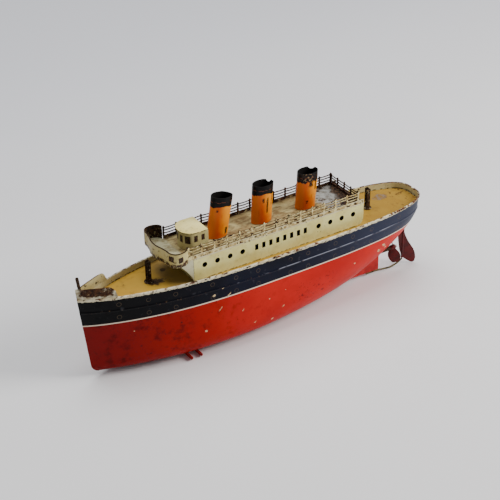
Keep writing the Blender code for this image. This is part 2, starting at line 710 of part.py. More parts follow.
rudder()
tube("rudder_tube", (RUDDER_X, 0, STOCK_TOP_Z - 15.0), (RUDDER_X, 0, STOCK_TOP_Z + 2.0),
     TUBE_RADIUS, STOCK_RADIUS + GAP, BRASS, 12)
tube("stern_tube", (PROPELLER_X + 4.0, 0, SHAFT_Z), (PROPELLER_X + 84.0, 0, SHAFT_Z),
     TUBE_RADIUS, SHAFT_RADIUS + GAP, BRASS, 12)


# ---------------------------------------------------------------- propeller and shaft

HUB_RADIUS = 2.4
HUB_HALF = 2.6
BLADE_ROOT_RADIUS = 1.2
BLADE_HALF_WIDTH = 5.8         # at its widest
NECK_HALF_WIDTH = 2.2
BLADE_SHEET = 0.8
ROOT_PITCH_DEG = 62.0          # the blade's set from the shaft at its root, and at its tip
TIP_PITCH_DEG = 28.0
BLADE_SWEEP = 1.5              # how far aft a blade's tip lies of its root
REST_TURN_DEG = 15.0           # the lower blade's lean to port at rest


def propeller_blade(turn):
    """One twisted petal of sheet, narrow at the hub, standing out from the shaft at an angle."""
    outer, inner = [], []
    for i in range(9):
        reach = i / 8
        radius = BLADE_ROOT_RADIUS + (PROPELLER_RADIUS - BLADE_ROOT_RADIUS) * reach
        swell = math.sin(math.pi * (0.02 + 0.93 * reach)) ** 0.8
        half_width = NECK_HALF_WIDTH + (BLADE_HALF_WIDTH - NECK_HALF_WIDTH) * swell
        pitch = math.radians(ROOT_PITCH_DEG + (TIP_PITCH_DEG - ROOT_PITCH_DEG) * reach)
        across = Vector((math.cos(pitch), math.sin(pitch), 0))
        half_sheet = Vector((-math.sin(pitch), math.cos(pitch), 0)) * BLADE_SHEET / 2
        middle = Vector((-BLADE_SWEEP * reach, 0, radius))
        spots = [middle + across * half_width * k / 2 for k in range(-2, 3)]
        outer.append([Matrix.Rotation(turn, 3, "X") @ (spot + half_sheet) for spot in spots])
        inner.append([Matrix.Rotation(turn, 3, "X") @ (spot - half_sheet) for spot in spots])
    work = bmesh.new()
    grid_shell(work, outer, inner)
    return mesh_object("blade", work, MAROON, smooth=True)


def propeller():
    """Two blades on a short bored hub, turning about the shaft."""
    hub = rod("propeller", (-HUB_HALF, 0, 0), (HUB_HALF, 0, 0), HUB_RADIUS, MAROON, 16)
    for turn in (0, math.pi):
        boolean(hub, propeller_blade(turn + math.radians(REST_TURN_DEG)), "UNION")
    bore = rod("bore", (-HUB_HALF - 1, 0, 0), (HUB_HALF + 1, 0, 0), SHAFT_RADIUS + GAP, STEEL, 12)
    boolean(hub, bore, "DIFFERENCE")
    hub.location = (PROPELLER_X * MM, 0, SHAFT_Z * MM)


propeller()
SHAFT_AFT_X = PROPELLER_X - 3.6
shaft = rod("propeller_shaft", (SHAFT_AFT_X, 0, SHAFT_Z), (SHAFT_PINION_X + 3.4, 0, SHAFT_Z),
            SHAFT_RADIUS, STEEL, 12)
set_origin(shaft, (PROPELLER_X, 0, SHAFT_Z))


# ---------------------------------------------------------------- clockwork motor

def gear_outline(teeth, turn=0.0):
    """A spur gear's outline with straight-flanked teeth, turned by a share of one tooth pitch."""
    pitch_radius = MODULE * teeth / 2
    root, tip = pitch_radius - DEDENDUM, pitch_radius + ADDENDUM
    step = 2 * math.pi / teeth
    points = []
    for k in range(teeth):
        for radius, share in ((root, -TOOTH_ROOT_SHARE), (tip, -TOOTH_TIP_SHARE),
                              (tip, TOOTH_TIP_SHARE), (root, TOOTH_ROOT_SHARE)):
            angle = step * (k + turn + share / 2)
            points.append((radius * math.cos(angle), radius * math.sin(angle)))
    return points


def spur_gear(name, teeth, x, low_z, thickness, surface, turn=0.0):
    gear = plate(name, [gear_outline(teeth, turn), circle((0, 0), ARBOR_RADIUS + GAP, 12)],
                 low_z, thickness, surface)
    gear.location = (x * MM, 0, 0)


GREAT_WHEEL_Z = 33.0
spur_gear("great_wheel", GREAT_TEETH, ARBOR_A_X, GREAT_WHEEL_Z, 1.6, BRASS)
spur_gear("second_pinion", PINION_TEETH, ARBOR_B_X, GREAT_WHEEL_Z - 1.2, 4.0, STEEL, 0.5)


def crown_wheel():
    """A crown wheel: a disc with a down-turned rim cut into teeth that drive the shaft pinion."""
    pitch_z = SHAFT_Z + MODULE * SHAFT_PINION_TEETH / 2
    root_z, tip_z = pitch_z + DEDENDUM, pitch_z - ADDENDUM
    top_z = root_z + CROWN_BACK
    step = 2 * math.pi / CROWN_TEETH
    teeth = []
    for k in range(CROWN_TEETH):
        for z, share in ((root_z, -TOOTH_ROOT_SHARE), (tip_z, -TOOTH_TIP_SHARE),
                         (tip_z, TOOTH_TIP_SHARE), (root_z, TOOTH_ROOT_SHARE)):
            teeth.append((step * (k + share / 2), z))
    back = [(angle, top_z) for angle, _ in teeth]
    inner, outer = CROWN_RADIUS - CROWN_RIM / 2, CROWN_RADIUS + CROWN_RIM / 2
    work = bmesh.new()
    rings = []
    for radius, edge in ((outer, teeth), (outer, back), (inner, back), (inner, teeth)):
        rings.append([work.verts.new((radius * math.cos(a), radius * math.sin(a), z)) for a, z in edge])
    for ring, after in zip(rings, rings[1:] + rings[:1]):
        for i in range(len(teeth)):
            k = (i + 1) % len(teeth)
            work.faces.new((ring[i], ring[k], after[k], after[i]))
    rim = mesh_object("crown_wheel", work, BRASS)
    web = plate("web", [circle((0, 0), CROWN_RADIUS, CROWN_TEETH), circle((0, 0), ARBOR_RADIUS + GAP, 12)],
                root_z + 0.5, 1.0, BRASS)
    boolean(rim, web, "UNION")
    rim.location = (ARBOR_B_X * MM, 0, 0)


crown_wheel()

PINION_LENGTH = 3.2
PINION_PHASE = 0.75            # turns its teeth into the crown wheel's gaps
pinion = plate("shaft_pinion",
               [gear_outline(SHAFT_PINION_TEETH, PINION_PHASE), circle((0, 0), SHAFT_RADIUS + GAP, 12)],
               -PINION_LENGTH / 2, PINION_LENGTH, BRASS, "YZ")
pinion.location = (SHAFT_PINION_X * MM, 0, SHAFT_Z * MM)

WINDING_SQUARE_Z = 64.0        # top of the winding arbor, where a key fits
arbor_a = rod("winding_arbor", (ARBOR_A_X, 0, LOWER_PLATE_Z - 0.2), (ARBOR_A_X, 0, WINDING_SQUARE_Z),
              ARBOR_RADIUS, STEEL, 12)
set_origin(arbor_a, (ARBOR_A_X, 0, GREAT_WHEEL_Z))
arbor_b = rod("second_arbor", (ARBOR_B_X, 0, UPPER_PLATE_Z + 0.6), (ARBOR_B_X, 0, SHAFT_Z + 3.0),
              ARBOR_RADIUS, STEEL, 12)
set_origin(arbor_b, (ARBOR_B_X, 0, GREAT_WHEEL_Z))


SPRING_TURNS = 6
SPRING_OUTER = 16.0
SPRING_STRIP = 0.45            # the strip's thickness
SPRING_WIDTH = 12.0
STEPS_PER_TURN = 18


def mainspring():
    """A flat spiral strip wound round the winding arbor, above the great wheel."""
    steps = SPRING_TURNS * STEPS_PER_TURN
    first = ARBOR_RADIUS + 0.8
    spiral = []
    for k in range(steps + 1):
        angle = 2 * math.pi * k / STEPS_PER_TURN
        radius = first + (SPRING_OUTER - first) * k / steps
        spiral.append(Vector((radius * math.cos(angle), radius * math.sin(angle), 0)))
    loop = flat(spiral) + flat(reversed(offset_path(spiral, SPRING_STRIP)))
    spring = plate("mainspring", [loop], GREAT_WHEEL_Z + 2.4, SPRING_WIDTH, STEEL)
    spring.location = (ARBOR_A_X * MM, 0, 0)


mainspring()

motor_outline = rectangle(PLATE_AFT_X, PLATE_FRONT_X, -PLATE_HALF, PLATE_HALF)
bearing_a = circle((ARBOR_A_X, 0), ARBOR_RADIUS + GAP, 12)
bearing_b = circle((ARBOR_B_X, 0), ARBOR_RADIUS + GAP, 12)
plate("motor_plate_lower", [motor_outline, bearing_a], LOWER_PLATE_Z, PLATE_SHEET, STEEL)
plate("motor_plate_upper", [motor_outline, bearing_a, bearing_b], UPPER_PLATE_Z, PLATE_SHEET, STEEL)
pillar_foot_z = LOWER_PLATE_Z + PLATE_SHEET + GAP
for end, x in (("fore", PLATE_FRONT_X - 4), ("aft", PLATE_AFT_X + 4)):
    for side, y in (("port", PLATE_HALF - 3), ("starboard", 3 - PLATE_HALF)):
        rod("motor_pillar_%s_%s" % (end, side), (x, y, pillar_foot_z), (x, y, UPPER_PLATE_Z - GAP),
            PILLAR_RADIUS, STEEL, 10)

plate("ballast_weight", [rectangle(RAIL_START_X - 46.0, RAIL_START_X - 2.0, -9.0, 9.0)],
      KEEL_Z + HULL_SHEET + 0.4, 4.0, LEAD)
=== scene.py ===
import json
import math

import bmesh
import bpy
from mathutils import Matrix, Vector, noise

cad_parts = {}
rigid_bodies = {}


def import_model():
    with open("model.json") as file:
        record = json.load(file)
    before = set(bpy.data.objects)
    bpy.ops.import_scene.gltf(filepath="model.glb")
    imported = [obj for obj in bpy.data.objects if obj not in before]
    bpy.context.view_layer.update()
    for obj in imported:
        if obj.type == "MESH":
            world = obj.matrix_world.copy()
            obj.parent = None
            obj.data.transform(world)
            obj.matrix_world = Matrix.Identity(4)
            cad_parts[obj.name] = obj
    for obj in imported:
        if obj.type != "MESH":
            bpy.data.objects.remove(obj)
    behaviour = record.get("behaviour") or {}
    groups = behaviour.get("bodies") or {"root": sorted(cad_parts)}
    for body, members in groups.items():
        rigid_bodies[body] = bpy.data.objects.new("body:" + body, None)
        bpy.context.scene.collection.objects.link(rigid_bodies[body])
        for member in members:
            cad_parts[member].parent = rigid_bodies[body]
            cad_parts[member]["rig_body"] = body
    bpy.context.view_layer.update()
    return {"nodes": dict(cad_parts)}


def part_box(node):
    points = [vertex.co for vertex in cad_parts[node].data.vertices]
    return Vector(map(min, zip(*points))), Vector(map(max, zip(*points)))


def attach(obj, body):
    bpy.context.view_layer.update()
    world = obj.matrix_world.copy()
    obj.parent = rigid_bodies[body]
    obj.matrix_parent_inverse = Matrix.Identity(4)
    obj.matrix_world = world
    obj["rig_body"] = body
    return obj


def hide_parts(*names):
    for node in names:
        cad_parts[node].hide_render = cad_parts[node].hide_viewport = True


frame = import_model()

# The looks of a worn clockwork tin liner. Sizes are in millimetres in the part's frame (+X bow,
# +Y port, +Z up) until mesh_piece or refine turns them into metres.
MM = 0.001


def span(node):
    """A CAD node's lowest and highest corners, in millimetres."""
    low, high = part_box(node)
    return low / MM, high / MM


HULL_LOW, HULL_HIGH = span("hull_port")
DECK_Z = span("main_deck")[1].z
ROOF_Z = span("boat_deck")[1].z
RAIL_START_X = span("rail_port")[1].x - 0.7  # the front rail post, which much is counted from
SEAM_HALF = 0.15
HULL_SHEET = 0.9
SHEET = 0.6


# ---- materials

def srgb(red, green, blue):
    """A colour given as 0 to 255 display values, as the shader wants it."""
    return tuple((v / 255) ** 2.2 for v in (red, green, blue)) + (1.0,)


def operation(name, swapped=False):
    """A method of Value for an operator, which adds a math node of that name."""
    def method(self, other=0.0):
        pair = (other, self) if swapped else (self, other)
        return self.paint.math(name, *pair)
    return method


class Value:
    """A number in a material, which ordinary arithmetic works on by adding math nodes."""

    def __init__(self, paint, socket):
        self.paint, self.socket = paint, socket

    __add__ = __radd__ = operation("ADD")
    __mul__ = __rmul__ = operation("MULTIPLY")
    __sub__, __rsub__ = operation("SUBTRACT"), operation("SUBTRACT", swapped=True)
    __pow__, __abs__ = operation("POWER"), operation("ABSOLUTE")


class Paint:
    """A node material put together by expressions, in millimetres of the part's frame."""

    def __init__(self, name):
        self.material = bpy.data.materials.new(name)
        self.material.use_nodes = True
        self.tree = self.material.node_tree
        self.shader = self.tree.nodes["Principled BSDF"]
        texture = self.add("ShaderNodeTexCoord", {})
        self.place = self.add("ShaderNodeVectorMath", {0: texture.outputs["Object"], 3: 1 / MM},
                              operation="SCALE").outputs[0]
        self.normal = self.add("ShaderNodeNewGeometry", {}).outputs["Normal"]
        self.x, self.y, self.z = self.split(self.place)
        self.facing = self.split(self.normal)
        self.colour = None

    def add(self, kind, inputs, **settings):
        node = self.tree.nodes.new(kind)
        for key, value in settings.items():
            setattr(node, key, value)
        for key, value in inputs.items():
            self.feed(node.inputs[key], value)
        return node

    def feed(self, socket, value):
        value = getattr(value, "socket", value)
        if isinstance(value, bpy.types.NodeSocket):
            self.tree.links.new(value, socket)
        else:
            socket.default_value = value

    def split(self, vector):
        outputs = self.add("ShaderNodeSeparateXYZ", {0: vector}).outputs
        return [Value(self, socket) for socket in outputs]

    def math(self, operation, a, b=0.0):
        node = self.add("ShaderNodeMath", {0: a, 1: b}, operation=operation)
        return Value(self, node.outputs[0])

    def away(self, a, b):
        """How far a point is from the origin, given its two coordinates."""
        return self.math("SQRT", a * a + b * b)

    def blot(self, x, y, half_x, half_y):
        """0 at the middle of an oval seen from above, 1 on its border and more outside."""
        return self.away((self.x - x) * (1 / half_x), (self.y - y) * (1 / half_y))

    def ramp(self, value, low, high):
        """Smoothly 0 at low to 1 at high. Low may be the larger of the two."""
        node = self.add("ShaderNodeMapRange", {0: value, 1: low, 2: high},
                        interpolation_type="SMOOTHSTEP")
        return Value(self, node.outputs[0])

    def both(self, *masks):
        made = masks[0]
        for mask in masks[1:]:
            made = made * mask
        return made

    def either(self, *masks):
        made = masks[0]
        for mask in masks[1:]:
            made = self.math("MAXIMUM", made, mask)
        return made

    def band(self, value, centre, half, soft=0.15):
        """1 where value is within half of centre."""
        return self.ramp(abs(value - centre), half + soft, max(half - soft, 0.0))

    def mix(self, share, a, b):
        """A colour between a and b, each a made colour or 0 to 255 display values."""
        a, b = (srgb(*c) if isinstance(c, tuple) else c for c in (a, b))
        node = self.add("ShaderNodeMix", {0: share, 6: a, 7: b}, data_type="RGBA")
        return Value(self, node.outputs[2])

    def over(self, mask, colour):
        """Lay a colour over what is there, where the mask is 1."""
        self.colour = self.mix(mask, self.colour, colour)

    def noise(self, size, seed=0.0, detail=4.0, roughness=0.55, stretch=(1, 1, 1)):
        """Fractal noise about 0.5 with features some size millimetres across."""
        place = self.add("ShaderNodeMapping", {
            "Vector": self.place, "Location": (17.3 * seed, -9.1 * seed, 5.7 * seed),
            "Scale": tuple(s / size for s in stretch)}).outputs[0]
        node = self.add("ShaderNodeTexNoise", {
            "Vector": place, "Scale": 1.0, "Detail": detail, "Roughness": roughness})
        return Value(self, node.outputs[0])

    def cloud(self, low, high, *noise):
        """Patches where the noise passes from low to high."""
        return self.ramp(self.noise(*noise), low, high)

    def spots(self, size, radius, seed=0.0, share=0.5):
        """Scattered round spots in cells of the given size; share of the cells have one."""
        shifted = self.add("ShaderNodeVectorMath", {0: self.place, 1: (seed * 31.0, seed * 7.0, 0)},
                           operation="ADD").outputs[0]
        cells = self.add("ShaderNodeTexVoronoi", {"Vector": shifted, "Scale": 1 / size})
        dice = self.add("ShaderNodeSeparateColor", {0: cells.outputs["Color"]}).outputs[0]
        chosen = self.math("LESS_THAN", dice, share)
        away = self.noise(size / 3, seed + 5) * 0.5 + Value(self, cells.outputs["Distance"])
        return chosen * self.ramp(away, 0.25 + radius / size, 0.22 + 0.5 * radius / size)

    def edge(self, radius=0.5, low=0.62, high=0.97):
        """1 on the sharp edges of the sheet, 0 on flat surface."""
        rounded = self.add("ShaderNodeBevel", {0: radius * MM}, samples=4).outputs[0]
        agree = self.add("ShaderNodeVectorMath", {0: rounded, 1: self.normal},
                         operation="DOT_PRODUCT").outputs["Value"]
        return self.ramp(agree, high, low)

    def rust(self, seed=0.0, light=(84, 58, 40), dark=(33, 24, 19)):
        return self.mix(self.cloud(0.4, 0.62, 1.6, seed + 3), dark, light)

    def finish(self, roughness, bump, depth=0.10, metallic=0.0, coat=0.0, shine=0.2):
        """Wire up the shader. depth is how deep the bump goes, in millimetres."""
        made = self.add("ShaderNodeBump", {"Height": bump, "Strength": 0.6, "Distance": depth * MM})
        for name, value in (("Base Color", self.colour), ("Roughness", roughness),
                            ("Metallic", metallic), ("Specular IOR Level", shine),
                            ("Coat Weight", coat), ("Coat Roughness", 0.2),
                            ("Normal", made.outputs[0])):
            self.feed(self.shader.inputs[name], value)
        return self.material


CREAM = (214, 208, 172)
# Near black painted shade, for insides and cut edges where little light reaches
INTERIOR_SHADE = (12, 10, 9)
WATERLINE_Z = 55.4
BELT_Z = 65.2
RING_RADIUS = 1.75
RING_MIDDLE_Z, RING_ROW_OFF = 64.5, 6.2
RIM_CREAM_Z = 77.2
FUNNEL_BAND = 8.2
RING_XS = (140, 117, 95, 63, 41.5, 20.5, -11.5, -29.5, -58, -77, -98, -131)
# Cream chips in the hull's paint: x, z, half length, half height, and tilt in degrees, up
# towards the stern
CHIPS = [(61.9, 59.6, 1.5, 1.0, 20), (-82, 40.6, 1.0, 0.9, 0), (-4.5, 26.3, 1.6, 0.7, 40),
         (5.5, 16.2, 1.3, 0.9, 20), (23.5, 20.1, 1.5, 0.7, 35), (56.5, 45.2, 2.6, 0.45, 50),
         (70.0, 27.4, 1.2, 1.0, 0), (9.7, 39.1, 0.6, 0.5, 0), (48.5, 56.6, 3.0, 0.5, 42),
         (35.6, 37.3, 1.5, 0.45, 60), (53.8, 64.4, 0.9, 0.7, 0), (-6.5, 42.6, 0.6, 0.5, 0),
         (-112, 41, 3.0, 1.5, -40), (-117, 45.5, 3.6, 1.3, -40), (-121, 41, 1.5, 0.8, 0),
         (129.5, 42.4, 0.7, 0.5, 0)]


def hull_paint():
    """Red below a cream waterline and navy above, with printed rings, a worn belt and chips;
    painted shade towards the bow, painted light towards the stern, and a painted highlight on the
    belt's crest.
    """
    p = Paint("hull_enamel")
    sag = ((p.x + 20.0) * (1 / 190)) ** 2.0
    above = p.z - (WATERLINE_Z - sag * 3.4)
    broad = p.noise(38, 1, 3)
    fine = p.noise(5, 2, 5)
    red = p.mix(p.ramp(broad, 0.35, 0.65), (180, 24, 17), (196, 32, 22))
    # Painted shade: the red darkens towards the bow, which faces away from the key light.
    red = p.mix(p.ramp(p.x, -20, 170), red, (120, 12, 10))
    soot = p.both(p.cloud(0.5, 0.7, 9, 4, 6, 0.65), p.ramp(p.x, -60, 120))
    red = p.mix(soot * 0.6, red, (58, 12, 12))
    pits = p.both(p.spots(7, 0.9, 3, 0.35), p.cloud(0.42, 0.55, 26, 9))
    grains = p.both(p.cloud(0.61, 0.68, 1.9, 19, 4, 0.7), p.ramp(p.x, -60, 70))
    smudge = p.both(p.ramp(abs(p.x + 38.0), 27, 12), p.ramp(abs(p.z - 33.0), 14, 7),
                    p.cloud(0.55, 0.62, 2.6, 33, 5, 0.7))
    grains = p.either(grains, smudge)
    pits = p.either(pits, grains * 0.8)
    red = p.mix(pits * 0.8, red, (44, 16, 14))
    navy = p.mix(p.ramp(broad, 0.35, 0.7), (12, 15, 28), (18, 22, 38))
    # Painted light and shade: the navy is lighter towards the stern, where the key light falls, and
    # darker towards the bow.
    navy = p.mix(p.ramp(p.x, 0, -120), navy, (44, 48, 66))
    navy = p.mix(p.ramp(p.x, 30, 140), navy, (4, 5, 10))
    navy = p.mix(p.both(p.ramp(fine, 0.6, 0.75), 0.35), navy, (78, 78, 84))
    p.colour = p.mix(p.ramp(above, -0.1, 0.1), red, navy)

    row = abs(abs(p.z - RING_MIDDLE_Z) - RING_ROW_OFF)
    across = abs(p.x - RING_XS[0])
    for ring_x in RING_XS[1:]:
        across = p.math("MINIMUM", across, abs(p.x - ring_x))
    rings = p.both(p.band(p.away(row, across), RING_RADIUS, 0.20, 0.11), p.ramp(fine, 0.3, 0.5))
    p.over(rings * 0.6, (92, 78, 62))

    # The belt's crest is partly worn to bare tin and partly a painted highlight, stronger aft
    # towards the key light.
    crest = p.band(p.z, BELT_Z + 0.25, 0.34, 0.22)
    worn_and_lit_aft = p.ramp(p.x, 12, -14) * 0.2
    rubbed_and_lit = p.ramp(p.noise(7, 6, 5, 0.6, (0.35, 1, 1)) + worn_and_lit_aft, 0.54, 0.64)
    p.over(p.both(crest, rubbed_and_lit, p.ramp(p.x, -134, -112), p.ramp(p.x, 70, 40), 0.75),
           (150, 154, 168))
    crumbs = p.both(p.band(p.z, BELT_Z - 0.3, 1.0, 0.6), p.cloud(0.6, 0.68, 2.2, 12, 4, 0.7))
    p.over(crumbs * 0.7, (120, 92, 64))

    line = p.both(p.band(above, 0.0, 0.52, 0.12), p.cloud(0.22, 0.34, 1.8, 7))
    p.over(line, (232, 214, 190))
    ragged = p.z + p.noise(3.2, 8, 5, 0.7) * 3.2
    top = p.ramp(ragged, RIM_CREAM_Z, RIM_CREAM_Z + 0.3)
    bitten = p.both(top, p.cloud(0.56, 0.62, 3.0, 10, 5, 0.65))
    p.over(top, (222, 212, 180))
    p.over(bitten, p.rust(2))

    gouge = None
    for chip_x, chip_z, long, high, tilt in CHIPS:
        cosine, sine = math.cos(math.radians(tilt)), math.sin(math.radians(tilt))
        ahead = p.x - chip_x
        rise = p.z - chip_z
        off_x = ahead * (cosine / long) - rise * (sine / long)
        off_z = ahead * (sine / high) + rise * (cosine / high)
        reach = p.away(off_x, off_z)
        spot = p.ramp(reach, 1.1, 0.8)
        gouge = spot if gouge is None else p.either(gouge, spot)
    gouge = p.both(gouge, p.cloud(0.4, 0.5, 1.3, 13, 4, 0.7), p.ramp(p.y, -5, 5))
    ring_of_rust = p.cloud(0.45, 0.6, 0.9, 14)
    p.over(gouge, p.mix(ring_of_rust, (228, 206, 160), (150, 112, 70)))
    specks = p.both(p.spots(11, 0.55, 5, 0.3), p.cloud(0.48, 0.58, 40, 15))
    p.over(specks, (222, 190, 150))
    keel = p.both(p.ramp(p.z, 6.2, 4.4), p.cloud(0.5, 0.6, 4, 16))
    p.over(keel, p.rust(4))

    rough = 0.3 + p.noise(14, 17, 5) * 0.22 + p.either(bitten, soot, gouge) * 0.25
    relief = fine * 0.25 - p.either(gouge, bitten, pits)
    return p.finish(rough, relief, shine=0.1)


def cream_paint(name, base=CREAM, rusty=0.5, seed=0.0, low_rust=None):
    """Aged cream enamel: brown speckles, yellowing, and rust where the sheet's edges are bare."""
    p = Paint(name)
    aged = p.cloud(0.35, 0.7, 18, seed, 4)
    warm = tuple(c * k for c, k in zip(base, (0.93, 0.90, 0.82)))
    p.colour = p.mix(aged, base, warm)
    grime = p.cloud(0.52, 0.74, 5, seed + 1, 6, 0.7)
    p.over(grime * (0.35 + 0.3 * rusty), (142, 122, 84))
    bare = p.both(p.edge(0.55),
                  p.cloud(0.6 - 0.2 * rusty, 0.66 - 0.18 * rusty, 2.6, seed + 2, 5, 0.7))
    blotch = p.cloud(0.7 - 0.12 * rusty, 0.73 - 0.1 * rusty, 4.2, seed + 4, 6, 0.68)
    speck = p.spots(3.4, 0.35, seed + 6, 0.30 + 0.3 * rusty)
    gone = p.either(bare, blotch, speck)
    if low_rust is not None:
        foot = p.both(p.ramp(p.z, low_rust + 1.2, low_rust), p.cloud(0.44, 0.54, 3, seed + 8))
        gone = p.either(gone, foot)
    p.over(gone, p.rust(seed))
    rough = 0.42 + p.either(gone, grime) * 0.35
    relief = p.noise(2.5, seed + 9, 5) * 0.3 - gone
    return p, rough, relief


def plain_cream(name, **settings):
    p, rough, relief = cream_paint(name, **settings)
    return p.finish(rough, relief)


def pierced_cream(name, low_z, high_z, **settings):
    """Cream paint on a wall along the boat, with near black painted shade on its inside and on its
    cut edges between two heights.
    """
    p, rough, relief = cream_paint(name, **settings)
    side_on = p.ramp(abs(p.facing[1]), 0.8, 0.6)
    cut = p.both(side_on, p.ramp(p.z, low_z, low_z + 0.2), p.ramp(p.z, high_z, high_z - 0.2))
    wall_x = span("house_aft")[0].x
    inner = p.both(p.ramp(abs(p.y), 20.45, 20.35), p.ramp(p.x, wall_x, wall_x + 0.3))
    # Painted shade: the window cut edges and the inside face are painted near black.
    p.over(p.either(cut, inner), INTERIOR_SHADE)
    return p.finish(rough, relief)


def end_wall(name, outside, **settings):
    """Cream paint on a wall across the boat, with painted shade on its inner face. outside is +1 or
    -1 in x.
    """
    p, rough, relief = cream_paint(name, **settings)
    within = p.ramp(p.facing[0] * outside, 0.1, -0.1)
    # Painted shade on the inner face.
    p.over(within, INTERIOR_SHADE)
    return p.finish(rough, relief)


def roof_paint():
    """Cream paint whose thin edge is brown with rust."""
    p, rough, relief = cream_paint("roof_enamel", base=(250, 236, 158), rusty=0.4, seed=95.0)
    rim = p.both(p.ramp(p.facing[2], 0.75, 0.45), p.cloud(0.34, 0.44, 2.4, 31, 5))
    p.over(rim, p.rust(9))
    return p.finish(rough, relief)


def windowed_cream(name, windows, foot_z=None, **settings):
    """Cream paint with small rusted window panes. A window is x, |y|, z and half sizes on each."""
    p, rough, relief = cream_paint(name, **settings)
    side = abs(p.y)
    shake = (p.noise(1.5, 21) - 0.5) * 1.4
    pane = None
    for x, y, z, half_x, half_y, half_z in windows:
        one = p.both(p.band(p.x + shake, x, half_x, 0.2), p.band(side, y, half_y, 0.2),
                     p.band(p.z + shake, z, half_z, 0.2))
        pane = one if pane is None else p.either(pane, one)
    broken = p.cloud(0.28, 0.36, 1.8, 23, 5, 0.7)
    glass = p.mix(p.cloud(0.42, 0.6, 1.1, 25), (36, 26, 19), (84, 58, 38))
    p.over(p.both(pane, broken), glass)
    if foot_z is not None:
        shaken = p.z + (p.noise(3.0, 27, 5, 0.7) - 0.5) * 7.0
        wet = p.both(p.ramp(shaken, foot_z + 3.4, foot_z + 2.6),
                     p.cloud(0.4, 0.48, 2.0, 29, 5, 0.7))
        p.over(wet, p.rust(8))
    return p.finish(rough, relief)


def deck_paint():
    """Ochre enamel, with rust by the fore mast and at both ends and grey bare tin aft; painted
    shade under the bridge and inside the deckhouse.
    """
    p = Paint("deck_enamel")
    p.colour = p.mix(p.cloud(0.35, 0.65, 22, 1), (208, 168, 70), (194, 152, 60))
    p.over(p.ramp(p.x, 60, 120) * 0.5, (176, 132, 40))
    p.over(p.cloud(0.52, 0.7, 8, 2, 6) * 0.45, (132, 98, 40))
    foot_x = span("fore_mast_socket")[0].x
    reach = p.blot(foot_x - 1.0, 3.0, 9.5, 6.0) + p.noise(3.4, 3, 5, 0.7) * 1.5
    dot = p.blot(87.5, -10.0, 1.0, 1.0) + p.noise(3.0, 15, 5, 0.7) * 5.0
    stain = p.either(p.ramp(reach, 1.70, 1.30), p.ramp(dot, 5.6, 4.4) * 0.85)
    aft = p.ramp(p.blot(-137.0, -10.0, 8.5, 5.0) + p.noise(3, 5, 5, 0.7) * 1.4, 1.75, 1.45)
    tin = p.both(aft, p.cloud(0.47, 0.52, 3, 6, 5, 0.7))
    stern_rust = p.both(p.ramp(p.x, -130, -150), p.cloud(0.57, 0.61, 4.4, 12, 5, 0.7))
    flecks = p.either(p.spots(9, 0.6, 7, 0.3), p.cloud(0.7, 0.73, 3.0, 8, 6, 0.7), stern_rust)
    wall_x = span("house_aft")[0].x
    room = p.both(p.ramp(abs(p.y), 19.9, 19.6), p.ramp(p.x, wall_x, wall_x + 0.3),
                  p.ramp(p.x, 74.6, 74.2))
    bow_rust = p.both(p.ramp(p.x, 132, 146), p.cloud(0.46, 0.53, 4, 9, 5, 0.7))
    rusted = p.either(stain, flecks, bow_rust)
    p.over(aft * 0.7, (128, 92, 48))
    p.over(tin, (138, 136, 132))
    p.over(rusted, p.rust(1))
    # Painted shade: the deck under the bridge is darker and greyer.
    p.over(p.both(p.ramp(p.x, 104, 84), 0.55, p.ramp(p.x, 60, 76)), (140, 116, 80))
    p.over(p.ramp(p.x, -92, -104) * 0.6, (124, 90, 40))
    # Painted shade on the deck inside the deckhouse.
    p.over(room, INTERIOR_SHADE)
    rough = 0.4 + p.either(rusted, tin) * 0.3
    relief = p.noise(3, 11) * 0.3 - p.either(rusted, tin)
    return p.finish(rough, relief)


def boat_deck_paint():
    """Dirty cream: brown water stains, blue-grey bare tin behind the third funnel, painted shade
    along both borders and on the underside.
    """
    p = Paint("boat_deck_enamel")
    p.colour = p.mix(p.cloud(0.38, 0.66, 14, 1, 5), (188, 174, 122), (150, 128, 86))
    stain = p.cloud(0.44, 0.6, 7, 2, 7, 0.72, (0.6, 1.2, 1))
    p.over(stain * 0.72, (98, 74, 44))
    # Darker brown along both borders: painted shade under the rail coamings, partly rust.
    side = p.ramp(abs(p.y), 15.5, 20.2)
    p.over(side * 0.75, (70, 48, 34))
    shake = (p.noise(8, 3, 5) - 0.5) * 16
    worn = p.ramp(p.x + shake, -60, -63.5)
    blue = p.mix(p.cloud(0.42, 0.62, 5, 4, 6, 0.7), (160, 160, 154), (112, 106, 96))
    p.over(worn, blue)
    dark = p.either(p.both(worn, p.cloud(0.55, 0.62, 9, 5, 5, 0.65)),
                    p.cloud(0.68, 0.72, 4, 6, 6, 0.7))
    corner = p.ramp(p.x + shake - p.y * 0.25, -77, -82)
    dark = p.either(dark, corner)
    fore = p.ramp(p.x, RAIL_START_X - 1, RAIL_START_X + 2)
    pale = p.mix(p.cloud(0.45, 0.7, 6, 8, 5), (186, 182, 146), (132, 118, 84))
    p.over(dark, p.rust(5, (92, 70, 52), (40, 32, 28)))
    p.over(fore * 0.9, pale)
    p.over(p.both(fore, p.spots(6, 0.6, 9, 0.5)), p.rust(7))
    # Painted shade on the underside.
    p.over(p.ramp(p.facing[2], 0.0, -0.5), INTERIOR_SHADE)
    rough = 0.45 + dark * 0.25
    relief = p.noise(3, 11) * 0.4 - dark
    return p.finish(rough, relief)


